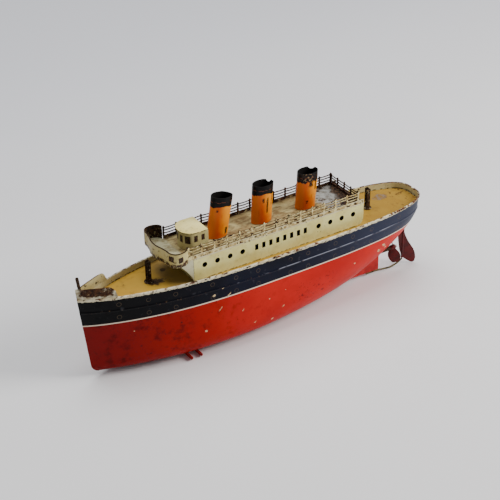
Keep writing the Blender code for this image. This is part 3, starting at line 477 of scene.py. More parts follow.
def rail_paint(name, cream_share, seed):
    """Rusted stamped strip: cream clings to its outer face, and its inner face is bare rust."""
    p = Paint(name)
    rust = p.mix(p.cloud(0.38, 0.64, 2.4, seed + 1, 5), (26, 17, 14), (74, 46, 30))
    aged = p.mix(p.cloud(0.4, 0.6, 3, seed, 5), (222, 208, 152), (172, 146, 94))
    outer = p.either(p.facing[1] * p.math("SIGN", p.y),
                     p.both(p.facing[0] * -1.0, p.ramp(p.x, -87.5, -88.2)))
    sill = p.both(p.ramp(p.z, 98.0, 96.5), 0.5)
    patchy = 0.66 - 0.65 * cream_share
    keeps = p.both(p.either(p.ramp(outer, 0.0, 0.3), sill),
                   p.cloud(patchy - 0.03, patchy + 0.03, 3.6, seed + 2, 5, 0.65))
    p.colour = p.mix(keeps, rust, aged)
    rough = 0.78 - keeps * 0.3
    return p.finish(rough, p.noise(1.2, seed + 4, 5), 0.12)


# Dark worn places down each funnel: turn in radians from the bow towards port (for a circle of the
# same corners), lowest and highest place along it, and half width in radians
STREAKS = {"funnel_front": [(2.1, 3.5, 9.5, 0.16), (0.9, 24, 26, 0.10)],
           "funnel_middle": [(1.75, 10, 24, 0.09), (2.3, 16, 26, 0.07), (1.3, 20, 24, 0.12)],
           "funnel_aft": [(1.6, 22, 27, 0.22), (2.2, 18, 27, 0.12), (1.3, 6, 9, 0.09)]}


def funnel_paint(node, worn, seed):
    """Orange enamel under a black top band, with the band's hand-cut lower edge, and painted light:
    lighter aft and towards the top, darker at the foot.
    """
    p = Paint(node + "_enamel")
    foot, height, lean_aft, lean_port, _ = FUNNELS[node]
    rise = p.z - ROOF_Z
    off_x = p.x - (RAIL_START_X + foot) + rise * lean_aft
    off_y = p.y - rise * lean_port
    turn = p.math("ARCTAN2", off_y * 1.5, off_x)
    along = rise - off_x * (lean_aft * 0.9)
    # Painted light and shade: the orange is lighter on the after side, which faces the key light,
    # and towards the top.
    aft_side = off_x * -0.1
    shade = aft_side + 0.35 + p.noise(9, seed) * 0.6
    shade = shade + p.ramp(along, 4, height - 8) * 0.22
    p.colour = p.mix(p.ramp(shade, 0.2, 1.25), (196, 76, 20), (238, 146, 22))
    # Painted shade: darker orange towards the foot.
    low = p.both(p.ramp(along, 20, 2), p.cloud(0.35, 0.6, 10, seed + 10))
    p.over(low * 0.6, (190, 66, 18))
    # Painted light and shade: the fore side, away from the key light, gets an even mid orange.
    fore = p.both(p.ramp(off_x, 3.0, 8.5), 0.75)
    p.over(fore, (214, 116, 34))
    streak = p.cloud(0.62, 0.72, 2.4, seed + 1, 5, 0.65, (1, 1, 0.18))
    p.over(streak * 0.4, (132, 66, 22))
    chip = p.either(p.spots(9, 1.1, seed + 2, 0.35),
                    p.cloud(0.7, 0.73, 3, seed + 3, 5, 0.7, (1, 1, 0.6)))
    p.over(chip, p.rust(seed, (96, 56, 30), (38, 24, 18)))
    wave = p.math("SINE", turn * 3.0) * 0.45
    frayed = (p.noise(3.5, seed + 4, 5) - 0.5) * (1.5 + 7 * worn)
    limit = along + wave + frayed
    edge = height - FUNNEL_BAND
    for turn_at, low_at, high_at, wide in STREAKS[node]:
        run = p.both(p.band(turn + p.noise(2.5, seed + 11) * 0.25, turn_at + 0.12, wide, 0.07),
                     p.band(along, (low_at + high_at) / 2, (high_at - low_at) / 2, 0.8),
                     p.cloud(0.34, 0.46, 1.8, seed + 12, 5, 0.7))
        p.over(run, p.rust(seed, (72, 48, 28), (34, 22, 14)))
    black = p.ramp(limit, edge - 0.12, edge + 0.12)
    soot = p.mix(p.cloud(0.45, 0.65, 3, seed + 5, 5), (13, 12, 12),
                 (18 + 34 * worn, 16 + 24 * worn, 15 + 18 * worn))
    p.over(black, soot)
    shake = along + p.noise(3, seed + 6) * 3.0
    scratch = p.both(p.band(shake, height - 2.4, 0.25, 0.2), p.cloud(0.42, 0.5, 2.2, seed + 7),
                     black)
    p.over(scratch, (112, 62, 44))
    bare = p.both(black, p.band(turn, 1.25, 0.5, 0.2),
                  p.cloud(0.72 - 0.2 * worn, 0.75 - 0.2 * worn, 2.0, seed + 8, 5, 0.7))
    p.over(bare, (150, 122, 88))
    rough = 0.38 + p.either(chip, streak, bare) * 0.3
    relief = p.noise(4, seed + 9, 4) * 0.4 - p.either(chip, bare)
    return p.finish(rough, relief, shine=0.12)


# Painted shade: the funnels' insides are near black, for the dark inside a deep tube.
def shaded_funnel_inside():
    p = Paint("funnel_inside_painted_shade")
    p.colour = p.mix(p.noise(4, 1), (14, 13, 13), (32, 28, 26))
    return p.finish(0.75, p.noise(2, 2))


def rusty_metal(name, pale, seed, pale_share=0.3):
    """Bare rusted sheet that keeps a few flakes of paint."""
    p = Paint(name)
    p.colour = p.mix(p.cloud(0.36, 0.64, 2.6, seed, 6, 0.7), (28, 21, 16), (74, 52, 34))
    flake = p.cloud(0.7 - 0.3 * pale_share, 0.72 - 0.3 * pale_share, 2.4, seed + 2, 5, 0.7)
    p.over(flake, pale)
    rough = 0.82 - flake * 0.3
    return p.finish(rough, p.noise(1.0, seed + 4, 5), 0.16)


def bow_plate_paint():
    """Cream paint almost gone: rust over the middle of the plate, cream left along its borders."""
    p = Paint("bow_plate_enamel")
    low, high = span("bow_plate_port")
    shake = (p.noise(6, 1, 6, 0.72) - 0.5) * 22
    inner_x = p.both(p.ramp(p.x + shake, low.x + 1.0, low.x + 5.0),
                     p.ramp(p.x + shake, high.x, high.x - 5.0))
    inner_z = p.ramp(p.z + shake * 0.4, low.z + 1.5, low.z + 2.8)
    patches = p.cloud(0.68, 0.6, 5, 8, 6, 0.72)
    gone = p.either(p.both(inner_x, inner_z, patches),
                    p.both(p.edge(0.5), p.cloud(0.42, 0.5, 2, 3)))
    cream = p.mix(p.cloud(0.4, 0.65, 5, 4), (212, 204, 174), (150, 134, 104))
    rust = p.mix(p.cloud(0.38, 0.62, 2.2, 5, 6, 0.7), (38, 22, 14), (84, 54, 32))
    rust = p.mix(p.cloud(0.58, 0.66, 2.8, 6, 6, 0.72), rust, (140, 118, 84))
    p.colour = p.mix(gone, cream, rust)
    rough = 0.45 + gone * 0.35
    return p.finish(rough, p.noise(1.4, 7, 6), 0.16)


def rim_paint():
    """Cream over rust on the rolled rim, chipped through in runs."""
    p = Paint("rim_enamel")
    cream = p.mix(p.cloud(0.4, 0.65, 6, 1), (230, 221, 190), (196, 180, 140))
    more = p.ramp(p.x, -100, -140) * 0.1
    chipped = p.ramp(p.noise(4.2, 2, 6, 0.72, (0.6, 1, 1)) + more, 0.52, 0.56)
    p.colour = p.mix(chipped, cream, p.rust(3, (124, 74, 44), (42, 26, 20)))
    rough = 0.42 + chipped * 0.35
    return p.finish(rough, p.noise(2, 4) - chipped, 0.2)


def gloss_paint(name, dark, light, rusty, seed):
    """One colour of worn gloss enamel, thin along its edges."""
    p = Paint(name)
    p.colour = p.mix(p.cloud(0.36, 0.66, 9, seed, 5), dark, light)
    thin = p.both(p.edge(0.6), p.cloud(0.36, 0.52, 2.5, seed + 1, 5))
    pit = p.spots(5, 0.5, seed + 2, 0.3)
    p.over(p.either(thin, pit) * rusty, p.rust(seed, (70, 34, 24), (24, 12, 12)))
    rough = 0.28 + p.noise(5, seed + 3) * 0.25
    return p.finish(rough, p.noise(4, seed + 4), 0.08, coat=0.2)


def bare_metal(name, dark, light, metallic, rough_low, seed, grain=(1, 1, 1)):
    """Tarnished bare metal with fine working marks."""
    p = Paint(name)
    p.colour = p.mix(p.cloud(0.36, 0.66, 6, seed, 6, 0.65), dark, light)
    marks = p.noise(0.8, seed + 1, 3, 0.6, grain)
    rough = rough_low + marks * 0.3
    return p.finish(rough, marks, 0.03, metallic)


def floor_paint():
    p = Paint("studio_floor")
    p.colour = p.mix(p.cloud(0.3, 0.7, 420, 1, 3), (238, 237, 238), (245, 245, 246))
    # Painted shade: the floor darkens and cools towards the back, away from the lamps.
    p.over(p.ramp(p.y, 0, -700), (222, 223, 229))
    return p.finish(0.75, p.noise(60, 2), 0.05)


# ---- mesh helpers

def link(name, data, materials, nodes=(), smooth_deg=35, body="boat"):
    """Make an object of a mesh in the part's frame, riding on a body and standing for CAD nodes."""
    for surface in materials:
        data.materials.append(surface)
    data.shade_smooth()
    data.set_sharp_from_angle(angle=math.radians(smooth_deg))
    obj = bpy.data.objects.new(name, data)
    bpy.context.scene.collection.objects.link(obj)
    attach(obj, body)
    if nodes:
        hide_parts(*nodes)
    return obj


def mesh_piece(name, work, materials, nodes=(), smooth_deg=60, body="boat"):
    """Finish a bmesh made in millimetres as a piece of the boat."""
    bmesh.ops.scale(work, vec=(MM, MM, MM), verts=work.verts)
    bmesh.ops.recalc_face_normals(work, faces=work.faces)
    data = bpy.data.meshes.new(name)
    work.to_mesh(data)
    work.free()
    link(name, data, materials, nodes, smooth_deg, body)


def bar_piece(name, path, surface, slot, *shape):
    """A piece that is one round bar; shape is what sweep takes from radius on."""
    work = bmesh.new()
    sweep(work, path, *shape)
    mesh_piece(name, work, [surface])


def sheet_piece(name, pairs, materials, slot, node, smooth_deg=50, **how):
    """A piece that is one sheet and stands for a CAD node; how is for sheet."""
    work = bmesh.new()
    sheet(work, pairs, **how)
    mesh_piece(name, work, materials, [node], smooth_deg)


def wobble(place, size, seed):
    """A smooth, repeatable shake of a point given in millimetres."""
    spot = Vector(place) / size + Vector((seed * 3.7, seed * 1.9, seed * 5.3))
    return Vector([noise.noise(spot + Vector(shift)) for shift in
                   ((3.1, 11.7, -6.3), (-14.9, 5.2, 8.8), (9.4, -17.6, 2.5))])


def refine(node, surface, bevel=0.12, bend=0.0, bend_size=18.0, seed=0.0):
    """A finer copy of a CAD node: welded, slightly bent, with worn round edges."""
    source = frame["nodes"][node]
    work = bmesh.new()
    work.from_mesh(source.data)
    bmesh.ops.remove_doubles(work, verts=work.verts, dist=2e-6)
    bmesh.ops.dissolve_limit(work, angle_limit=math.radians(0.5), verts=work.verts,
                             edges=work.edges)
    if bend:
        for vert in work.verts:
            shake = wobble(vert.co / MM, bend_size, seed)
            vert.co += Vector((shake.x * 0.4, shake.y, shake.z * 0.4)) * bend * MM
    data = bpy.data.meshes.new(node + "_finished")
    work.to_mesh(data)
    work.free()
    spare = data.attributes.get("custom_normal")
    if spare:
        data.attributes.remove(spare)
    data.materials.clear()
    obj = link(node + "_finished", data, [surface], [node], body=source["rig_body"])
    if bevel:
        step = obj.modifiers.new("worn_edges", "BEVEL")
        step.width = bevel * MM
        step.segments = 2
        step.limit_method = "ANGLE"
        step.angle_limit = math.radians(40)


def repaint(surface, *nodes):
    """Give CAD nodes that stay in view a better material."""
    for node in nodes:
        shown = frame["nodes"][node]
        shown.data.materials.clear()
        shown.data.materials.append(surface)


def join(work, one, other, surface=0, wrap=False):
    """Faces between two matching rows of a mesh's points."""
    count = len(one)
    for i in range(count if wrap else count - 1):
        k = (i + 1) % count
        work.faces.new((one[i], one[k], other[k], other[i])).material_index = surface


def grid(work, rows, surface=0, wrap=False):
    """Faces over a grid of points, given as rows."""
    made = [[work.verts.new(p) for p in row] for row in rows]
    for upper, lower in zip(made, made[1:]):
        join(work, upper, lower, surface, wrap)
    return made


def sheet(work, pairs, inside=1, border=0, wrap=False):
    """A closed sheet from rows of pairs of points, one on its outer and one on its inner face.

    inside and border are the numbers of the materials there; the outer face has the first."""
    outer, inner = [grid(work, [[pair[side] for pair in row] for row in pairs], surface, wrap)
                    for side, surface in ((0, 0), (1, inside))]
    for end in (0, -1):
        join(work, outer[end], inner[end], border, wrap)
        if not wrap:
            join(work, [row[end] for row in outer], [row[end] for row in inner], border)


def bar(work, rings):
    """A bar with flat ends from rings of points."""
    made = grid(work, rings, wrap=True)
    for ring in (made[0], made[-1]):
        work.faces.new(ring)


def sweep(work, path, radius, sides=8, rough=0.0, seed=0.0, squash=1.0):
    """A round bar along a path of points, with its radius slightly uneven."""
    rings = []
    for i, point in enumerate(path):
        ahead = (path[min(i + 1, len(path) - 1)] - path[max(i - 1, 0)]).normalized()
        side = ahead.cross(Vector((0, 0, 1)))
        side = side.normalized() if side.length > 0.1 else Vector((0, 1, 0))
        up = side.cross(ahead)
        ring = []
        for k in range(sides):
            angle = 2 * math.pi * k / sides
            uneven = 1 + rough * noise.noise(point / 4 + Vector((seed, k * 0.4, 0)))
            ring.append(point + (side * math.cos(angle) * squash
                                 + up * math.sin(angle)) * radius * uneven)
        rings.append(ring)
    bar(work, rings)


def smooth_path(points, per_span=4):
    """A Catmull-Rom curve through points, with the given number of steps between two of them."""
    pts = [Vector(points[0]) * 2 - Vector(points[1])] + [Vector(p) for p in points]
    pts.append(Vector(points[-1]) * 2 - Vector(points[-2]))
    path = []
    for i in range(1, len(pts) - 2):
        p0, p1, p2, p3 = pts[i - 1:i + 3]
        for k in range(per_span):
            t = k / per_span
            path.append(0.5 * (2 * p1 + (p2 - p0) * t + (2 * p0 - 5 * p1 + 4 * p2 - p3) * t ** 2
                               + (3 * p1 - p0 - 3 * p2 + p3) * t ** 3))
    path.append(pts[-2])
    return path


# ---- hull

KEEL_END_X = RAIL_START_X - 178.0
COUNTER_Z = 64.0
STEM_RAKE = 0.105
FOREFOOT_RADIUS = 8.0
HALF_BEAM = 31.75
HULL_COLUMNS = 140
RIM_STEPS = 181


def stem_x(z):
    drop = min(max((HULL_LOW.z + FOREFOOT_RADIUS - z) / FOREFOOT_RADIUS, 0.0), 1.0)
    rounding = FOREFOOT_RADIUS * (1 - math.sqrt(1 - drop * drop))
    return HULL_HIGH.x - STEM_RAKE * (HULL_HIGH.z - z) - rounding


def stern_x(z):
    drop = min(max((COUNTER_Z - z) / (COUNTER_Z - HULL_LOW.z), 0.0), 1.0)
    return HULL_LOW.x + (KEEL_END_X - HULL_LOW.x) * drop ** 1.5


def hull_point(along, down):
    """The port skin. along runs from 0 at the stem to 1 at the stern, down from rim to keel."""
    z = HULL_HIGH.z - (HULL_HIGH.z - HULL_LOW.z) * down
    x = stem_x(z) + (stern_x(z) - stem_x(z)) * along
    widest = 0.50 + 0.025 * down
    if along < widest:
        plan = (1 - (1 - along / widest) ** 2.5) ** (0.86 + 0.12 * down)
    else:
        power = 3.2 - 1.9 * down
        plan = max(1 - ((along - widest) / (1 - widest)) ** power, 0.0) ** (1 / power)
    section = max(1 - down ** 5.5, 0.0) ** (1 / 5.5)
    return Vector((x, HALF_BEAM * (1 + 0.04 * down) * section * plan, z))


def hull_normal(along, down):
    along = min(max(along, 0.004), 0.996)
    down = min(max(down, 0.002), 0.997)
    step = 0.001
    across = hull_point(along + step, down) - hull_point(along - step, down)
    drop = hull_point(along, down + step) - hull_point(along, down - step)
    normal = across.cross(drop).normalized()
    return normal if normal.y > 0 else -normal


def hull_rows():
    """Heights for the skin's rows: close together where the belt is pressed, wider below."""
    belt_share = 0.24
    rows = [belt_share * k / 40 for k in range(40)]
    start = math.asin(belt_share ** 1.25)
    return rows + [math.sin(start + (math.pi / 2 - start) * k / 30) ** 0.8 for k in range(31)]


def hull_half(side_name, side, outside, inside, rim):
    skins = []
    for i in range(HULL_COLUMNS + 1):
        along = (1 - math.cos(math.pi * i / HULL_COLUMNS)) / 2
        row = []
        for down in hull_rows():
            point, normal = hull_point(along, down), hull_normal(along, down)
            belt = 0.5 * math.exp(-((point.z - BELT_Z) / 0.75) ** 2)
            dent = 0.15 * noise.noise(point / 26 + Vector((0, side * 9, 0)))
            skin = point + normal * (belt + dent)
            back = point - normal * HULL_SHEET
            skin.z, back.z = point.z, back.z if down > 0 else point.z
            skin.y, back.y = side * max(skin.y, SEAM_HALF), side * max(back.y, SEAM_HALF)
            row.append((skin, back))
        skins.append(row)
    sheet_piece("hull_skin_" + side_name, skins, [outside, inside], "hull_paint",
                "hull_" + side_name)
    bead = []
    for i in range(RIM_STEPS):
        along = (1 - math.cos(math.pi * (0.5 + i) / RIM_STEPS)) / 2
        point, normal = hull_point(along, 0.0), hull_normal(along, 0.0)
        normal.z = 0
        spot = point - normal * 0.1
        bead.append(Vector((spot.x, side * max(spot.y, 0.4), HULL_HIGH.z - 0.45)))
    bar_piece("rim_bead_" + side_name, bead, rim, "hull_paint", 0.95, 10, 0.28, side, 0.85)


def stem_seams(surface):
    """The soldered seams where the two pressings meet: down the stem, and below the stern."""
    stem = [Vector((stem_x(z) - 0.25, 0, z)) for z in [HULL_HIGH.z - 1 - 3 * k for k in range(22)]]
    for rise in (6, 4.2, 2.6, 1.3, 0.5):
        z = HULL_LOW.z + rise
        stem.append(Vector((stem_x(z) - 0.1, 0, z + 0.1)))
    bar_piece("stem_seam", stem, surface, "hull_paint", 0.55, 8, 0.2, 3, 0.8)
    stern = [Vector((stern_x(z) - 0.1, 0, z)) for z in [76.0 - k * 2.5 for k in range(17)]]
    bar_piece("stern_seam", stern, surface, "hull_paint", 0.5, 8, 0.2, 5, 0.8)


hull_enamel = hull_paint()
rim_enamel = rim_paint()
bulwark_cream = plain_cream("bulwark_cream", base=(208, 198, 152), rusty=0.7, seed=31.0,
                            low_rust=DECK_Z)
hull_half("port", 1, hull_enamel, bulwark_cream, rim_enamel)
hull_half("starboard", -1, hull_enamel, bulwark_cream, rim_enamel)
stem_seams(hull_enamel)

# ---- bow and deck fittings


def bow_plate(side_name, side, outside, inside, length, corner):
    """The raised plate on the rim: a curved sheet with a rounded after corner and a rolled top."""
    high = span("bow_plate_" + side_name)[1]
    full = high.z - HULL_HIGH.z
    end_height = 1.5
    skins = []
    for i in range(37):
        run = length * i / 36
        along = run / (HULL_HIGH.x - HULL_LOW.x)
        point, normal = hull_point(along, 0.0), hull_normal(along, 0.0)
        normal.z = 0
        past = max(run - (length - corner), 0.0) / corner
        height = end_height + (full - end_height) * math.sqrt(max(1 - past * past, 0.0))
        height *= 1 + 0.03 * noise.noise(Vector((run / 4, side, 0)))
        row = []
        for j in range(9):
            rise = height * j / 8
            lean = Vector((STEM_RAKE * rise, 0, rise))
            roll = normal * (0.45 * max(j - 6, 0) / 2 + 0.25 * noise.noise(point / 7 + lean / 5))
            pair = [point + normal * depth + roll + lean for depth in (0.05, -HULL_SHEET)]
            row.append([(min(spot.x, high.x), side * max(spot.y, SEAM_HALF), spot.z)
                        for spot in pair])
        skins.append(row)
    sheet_piece("bow_plate_%s_finished" % side_name, skins, [outside, inside], "house_cream",
                "bow_plate_" + side_name, 40)


bow_rust = bow_plate_paint()
bow_pale = plain_cream("bow_plate_inside", base=(190, 178, 130), rusty=1.0, seed=41.0)
bow_plate("port", 1, bow_rust, bow_pale, 29.0, 6.0)
bow_plate("starboard", -1, bow_rust, bow_pale, 33.0, 4.5)

socket_rust = rusty_metal("mast_socket_rust", (176, 164, 132), 51.0, 0.35)
refine("jackstaff_socket", rusty_metal("jackstaff_rust", (120, 104, 84), 53.0, 0.15), 0.15)
refine("fore_mast_socket", socket_rust, 0.12, 0.15, 8)
refine("aft_mast_socket", socket_rust, 0.12, 0.15, 8, 2)
refine("main_deck", deck_paint(), 0.15)

# ---- deckhouse

house_look = {"base": (230, 223, 152), "rusty": 0.12, "seed": 61.0, "low_rust": DECK_Z + 0.2}
pierced_enamel = pierced_cream("pierced_enamel", 80, 92, **house_look)
refine("house_side_port", pierced_enamel, 0.0, 0.12, 40, 4)
refine("house_side_starboard", pierced_enamel, 0.0, 0.12, 40, 4)
refine("house_front", end_wall("house_front_enamel", 1.0, **house_look), 0.10, 0.12, 40, 4)
refine("house_aft", end_wall("house_aft_enamel", -1.0, **house_look), 0.10, 0.12, 40, 4)
bracket_enamel = plain_cream("bracket_enamel", base=(196, 192, 158), rusty=0.35, seed=65.0)
refine("bridge_bracket_port", bracket_enamel, 0.10)
refine("bridge_bracket_starboard", bracket_enamel, 0.10)


def house_seams(surface):
    """Two folded joints along the top of each side: at the boat deck and under the rail."""
    low, high = span("house_side_port")
    for side_name, side in (("port", 1), ("starboard", -1)):
        work = bmesh.new()
        for number, (z, radius) in enumerate(((high.z + 0.1, 0.5), (high.z + 3.6, 0.32))):
            path = []
            for k in range(91):
                x = low.x + (high.x - low.x) * k / 90
                shake = wobble((x, side * 20.0, z), 9, number + side)
                path.append(Vector((x, side * (high.y + 0.05) + shake.y * 0.15,
                                    z + shake.z * 0.18)))
            sweep(work, path, radius, 8, 0.35, number)
        mesh_piece("house_seam_" + side_name, work, [surface])


seam_enamel = plain_cream("seam_enamel", base=(216, 208, 172), rusty=1.0, seed=71.0)
house_seams(seam_enamel)
refine("boat_deck", boat_deck_paint(), 0.12)

# ---- bridge

# Plan of the bulwark, from its port after end to the middle of its front, with x counted from the
# front rail post
BRIDGE_PLAN = [(1.2, 20.8), (2.9, 24.0), (7.0, 26.0), (11.5, 26.3), (15.3, 24.5), (17.3, 20.8),
               (17.6, 16.5), (18.6, 11.0), (20.1, 6.0), (20.7, 0.0)]
BRIDGE_WINDOWS = [(97, 25, 102.4, 2.2, 5, 2.5), (89.3, 28, 101.2, 2.2, 3, 2.5),
                  (84.4, 27, 98, 1.3, 3, 1.2)]


def bridge(surface, inside, brown):
    """The bulwark round the bridge: a bulged screen with a ragged foot and a bead along its top."""
    low, high = span("bridge_bulwark")
    half = [(RAIL_START_X + x, y, 0) for x, y in BRIDGE_PLAN]
    path = smooth_path(half + [(x, -y, 0) for x, y, _ in reversed(half[:-1])], 10)
    skins, rim = [], []
    for i, point in enumerate(path):
        ahead = path[min(i + 1, len(path) - 1)] - path[max(i - 1, 0)]
        out = Vector((ahead.y, -ahead.x, 0)).normalized()
        if out.dot(point - Vector((RAIL_START_X, 0, 0))) < 0:
            out = -out
        foot = (low.z - 0.2 + 0.9 * noise.noise(Vector((i / 3.1, 2, 0)))
                + 0.6 * noise.noise(Vector((i / 1.2, 5, 0))))
        row = []
        for j in range(13):
            share = j / 12
            z = foot + (high.z - foot) * share
            bulge = (0.25 * math.sin(math.pi * share)
                     + 0.2 * noise.noise(Vector((i / 5, share * 3, 1))))
            pair = [point + out * (depth + bulge) for depth in (0.0, -SHEET)]
            row.append([(spot.x, spot.y, z) for spot in pair])
        skins.append(row)
        rim.append(Vector((point.x, point.y, high.z)) - out * SHEET / 2)
    sheet_piece("bridge_screen", skins, [surface, inside], "house_cream", "bridge_bulwark",
                border=1)
    bar_piece("bridge_rim", rim, brown, "rail_brown", 0.5, 8, 0.25, 7)


# The bridge's cream is darker than the house's, partly dirt and partly painted shade for its front,
# which faces away from the key light.
bridge(windowed_cream("bridge_enamel", BRIDGE_WINDOWS, span("bridge_bulwark")[0].z,
                      base=(198, 184, 124), rusty=0.85, seed=81.0),
       rusty_metal("bridge_inside_rust", (140, 128, 90), 85.0, 0.4),
       rusty_metal("bridge_rim_rust", (150, 134, 104), 87.0, 0.12))

WHEELHOUSE_WINDOWS = [(66.6, 11, 105.8, 1.7, 3, 2.9), (60.0, 11, 105.8, 1.6, 3, 2.8),
                      (75, 3.0, 105.2, 5, 1.6, 3.2), (71, 8.2, 105.2, 4, 1.7, 3.4)]
refine("wheelhouse_walls",
       windowed_cream("wheelhouse_enamel", WHEELHOUSE_WINDOWS, base=(206, 194, 136), rusty=0.3,
                      seed=91.0), 0.12)


def wheelhouse_roof(surface):
    """A thin crowned sheet in the wheelhouse's bullet plan, with a slightly torn edge."""
    low, high = span("wheelhouse_roof")
    half = (high.y - low.y) / 2
    shoulder = RAIL_START_X - 12.5
    nose = high.x - shoulder
    outline = []
    for k in range(41):
        a = math.pi / 2 - math.pi * k / 40
        outline.append((shoulder + nose * math.cos(a), half * math.sin(a)))
    outline += [(shoulder + (low.x - shoulder) * k / 8, -half) for k in range(1, 9)]
    outline += [(low.x, -half + 2 * half * k / 16) for k in range(1, 16)]
    outline += [(low.x + (shoulder - low.x) * k / 9, half) for k in range(9)]
    centre = Vector((shoulder - 2, 0, 0))
    tops, bottoms = [], []
    for level in range(8):
        share = math.sin(math.pi / 2 * (1 - level / 8))
        spots = []
        for k, (x, y) in enumerate(outline):
            torn = 1 + (0.018 * noise.noise(Vector((k / 1.7, 3, 0))) if level == 0 else 0.0)
            spot = centre + (Vector((x, y, 0)) - centre) * share * torn
            crown = 0.9 * (1 - share * share) - 0.25 * noise.noise(spot / 6)
            spots.append((spot.x, spot.y, crown))
        tops.append([(x, y, high.z - 0.25 + crown) for x, y, crown in spots])
        bottoms.append([(x, y, low.z + crown) for x, y, crown in spots])
    work = bmesh.new()
    top, bottom = grid(work, tops, wrap=True), grid(work, bottoms, wrap=True)
    join(work, top[0], bottom[0], wrap=True)
    work.faces.new(top[-1])
    work.faces.new(bottom[-1])
    mesh_piece("wheelhouse_roof_finished", work, [surface], ["wheelhouse_roof"], 50)


wheelhouse_roof(roof_paint())

# ---- funnels

# Each funnel's middle at its foot, counted in x from the front rail post, its height, its lean aft
# and to port for each unit of height, and its rim's notches: middle in degrees from the bow, half
# width in degrees, depth
FUNNELS = {"funnel_front": (-38.7, 36.6, 0.135, 0.036, [(200, 30, 0.3)]),
           "funnel_middle": (-82.2, 35.3, 0.045, 0.015, [(214, 13, 1.9), (60, 30, 0.4)]),
           "funnel_aft": (-126.7, 34.8, 0.030, 0.060, [(226, 17, 1.7), (150, 14, 0.8)])}
FUNNEL_HALF_LENGTH, FUNNEL_HALF_WIDTH = 9.5, 6.1
LAP_DEG = 250


def funnel(node, outside, inside, seed):
    """A rolled oval tube with a lapped seam, dents and a bent, notched rim."""
    low = span(node)[0]
    foot, height, lean_aft, lean_port, notches = FUNNELS[node]
    skins = []
    for j in range(37):
        share = j / 36
        rise = height * share
        row = []
        for k in range(72):
            angle = 2 * math.pi * k / 72
            degrees = math.degrees(angle)
            cut = 0.0
            for middle, half, depth in notches:
                off = (degrees - middle + 180) % 360 - 180
                cut += depth * math.exp(-(off / half) ** 4)
            dent = 0.22 * noise.noise(Vector((math.cos(angle) * 1.3, math.sin(angle) * 1.3,
                                              share * 3 + seed)))
            bent = -0.25 * cut * max((share - 0.85) / 0.15, 0.0)
            lap = 0.22 if abs(degrees - LAP_DEG) < 6 else 0.0
            pair = []
            for depth in (lap, -SHEET):
                grow = dent + bent + depth
                x = (FUNNEL_HALF_LENGTH * (1 + 0.03 * share) + grow) * math.cos(angle)
                y = (FUNNEL_HALF_WIDTH * (1 + 0.03 * share) + grow) * math.sin(angle)
                tip = share * (lean_aft * x - lean_port * y) - cut * max((share - 0.75) / 0.25, 0.0)
                pair.append((RAIL_START_X + foot + x - lean_aft * rise, y + lean_port * rise,
                             low.z + rise + tip))
            row.append(pair)
        skins.append(row)
    sheet_piece(node + "_finished", skins, [outside, inside], "funnel_orange", node,
                border=1, wrap=True)


# The funnels' insides get near black painted shade.
soot = shaded_funnel_inside()
WORN = {"funnel_front": 0.05, "funnel_middle": 0.35, "funnel_aft": 0.9}
for number, (node, worn) in enumerate(WORN.items()):
    funnel(node, funnel_paint(node, worn, 100.0 + 11 * number), soot, number * 2.3)

# ---- rails

POST_PITCH = 12.0
SILL_TOP_Z = 98.0
BAR_ZS = (99.95, 102.65, 105.0)
# A post's outline: height and half width
POST_SHAPE = ((97.9, 0.85), (100.5, 0.75), (103.5, 0.75), (105.7, 0.9), (106.3, 0.6), (106.8, 0.2))


def rail(node, surface, seed):
    """A stamped rail: a sill, flat pointed posts, and uneven bars that sag between them."""
    low, high = span(node)
    across = node == "rail_aft"
    start, stop = (low.y, high.y) if across else (low.x, high.x)
    if across:
        posts = [start + 0.7 + (stop - start - 1.4) * k / 4 for k in range(5)]
    else:
        posts = [stop - 0.7 - POST_PITCH * k for k in reversed(range(15))]
    middle = (low + high) / 2
    work = bmesh.new()

    def ring(z_and_places, half_sheet):
        """Four points round a bar at right angles to it, from the (along, z) of its two borders."""
        (one, one_z), (other, other_z) = z_and_places
        made = []
        for along, z, out in ((one, one_z, half_sheet), (one, one_z, -half_sheet),
                              (other, other_z, -half_sheet), (other, other_z, half_sheet)):
            shake = wobble((along, middle.x if across else middle.y, z), 11, seed)
            lean = 0.45 * shake.x * max(z - SILL_TOP_Z, 0.0) / 8 + out
            z += 0.15 * shake.z
            made.append(Vector((middle.x + lean, along, z) if across
                               else (along, middle.y + lean, z)))
        return made

    def strip(first, last, z, half_height, sag=0.0, steps=8):
        """A flat bar between two places, of slightly uneven height and hanging a little."""
        rings = []
        for k in range(steps + 1):
            along = first + (last - first) * k / steps
            z_here = z - sag * math.sin(math.pi * k / steps)
            uneven = half_height * (1 + 0.25 * noise.noise(Vector((along / 2.3, z_here, seed))))
            rings.append(ring(((along, z_here + uneven), (along, z_here - uneven)), 0.3))
        bar(work, rings)

    for number, (first, last) in enumerate(zip(posts, posts[1:])):
        for z in BAR_ZS:
            sag = 0.3 + 0.6 * noise.noise(Vector((number * 1.7, z, seed)))
            strip(first, last, z, 0.42, sag)
    strip(posts[0] - 0.6, stop - 0.1, (SILL_TOP_Z + low.z) / 2, (SILL_TOP_Z - low.z) / 2, steps=60)
    if not across:
        strip(start, posts[0] - 0.6, (97.0 + low.z) / 2, (97.0 - low.z) / 2, steps=4)
    for post in posts:
        bar(work, [ring(((post + half, z), (post - half, z)), 0.36) for z, half in POST_SHAPE])
    mesh_piece(node + "_finished", work, [surface], [node], 40)


rail("rail_port", rail_paint("rail_port_enamel", 0.32, 121.0), 1.0)
rail("rail_starboard", rail_paint("rail_starboard_rust", 0.14, 127.0), 2.0)
rail("rail_aft", rail_paint("rail_aft_rust", 0.12, 133.0), 3.0)

# ---- under the hull

red_enamel = gloss_paint("keel_red", (150, 24, 20), (184, 34, 28), 0.7, 141.0)
maroon = gloss_paint("maroon_enamel", (72, 7, 8), (98, 12, 12), 0.7, 143.0)
refine("stand_foot", red_enamel, 0.15)
refine("skeg", red_enamel, 0.15)
refine("rudder", maroon, 0.22)


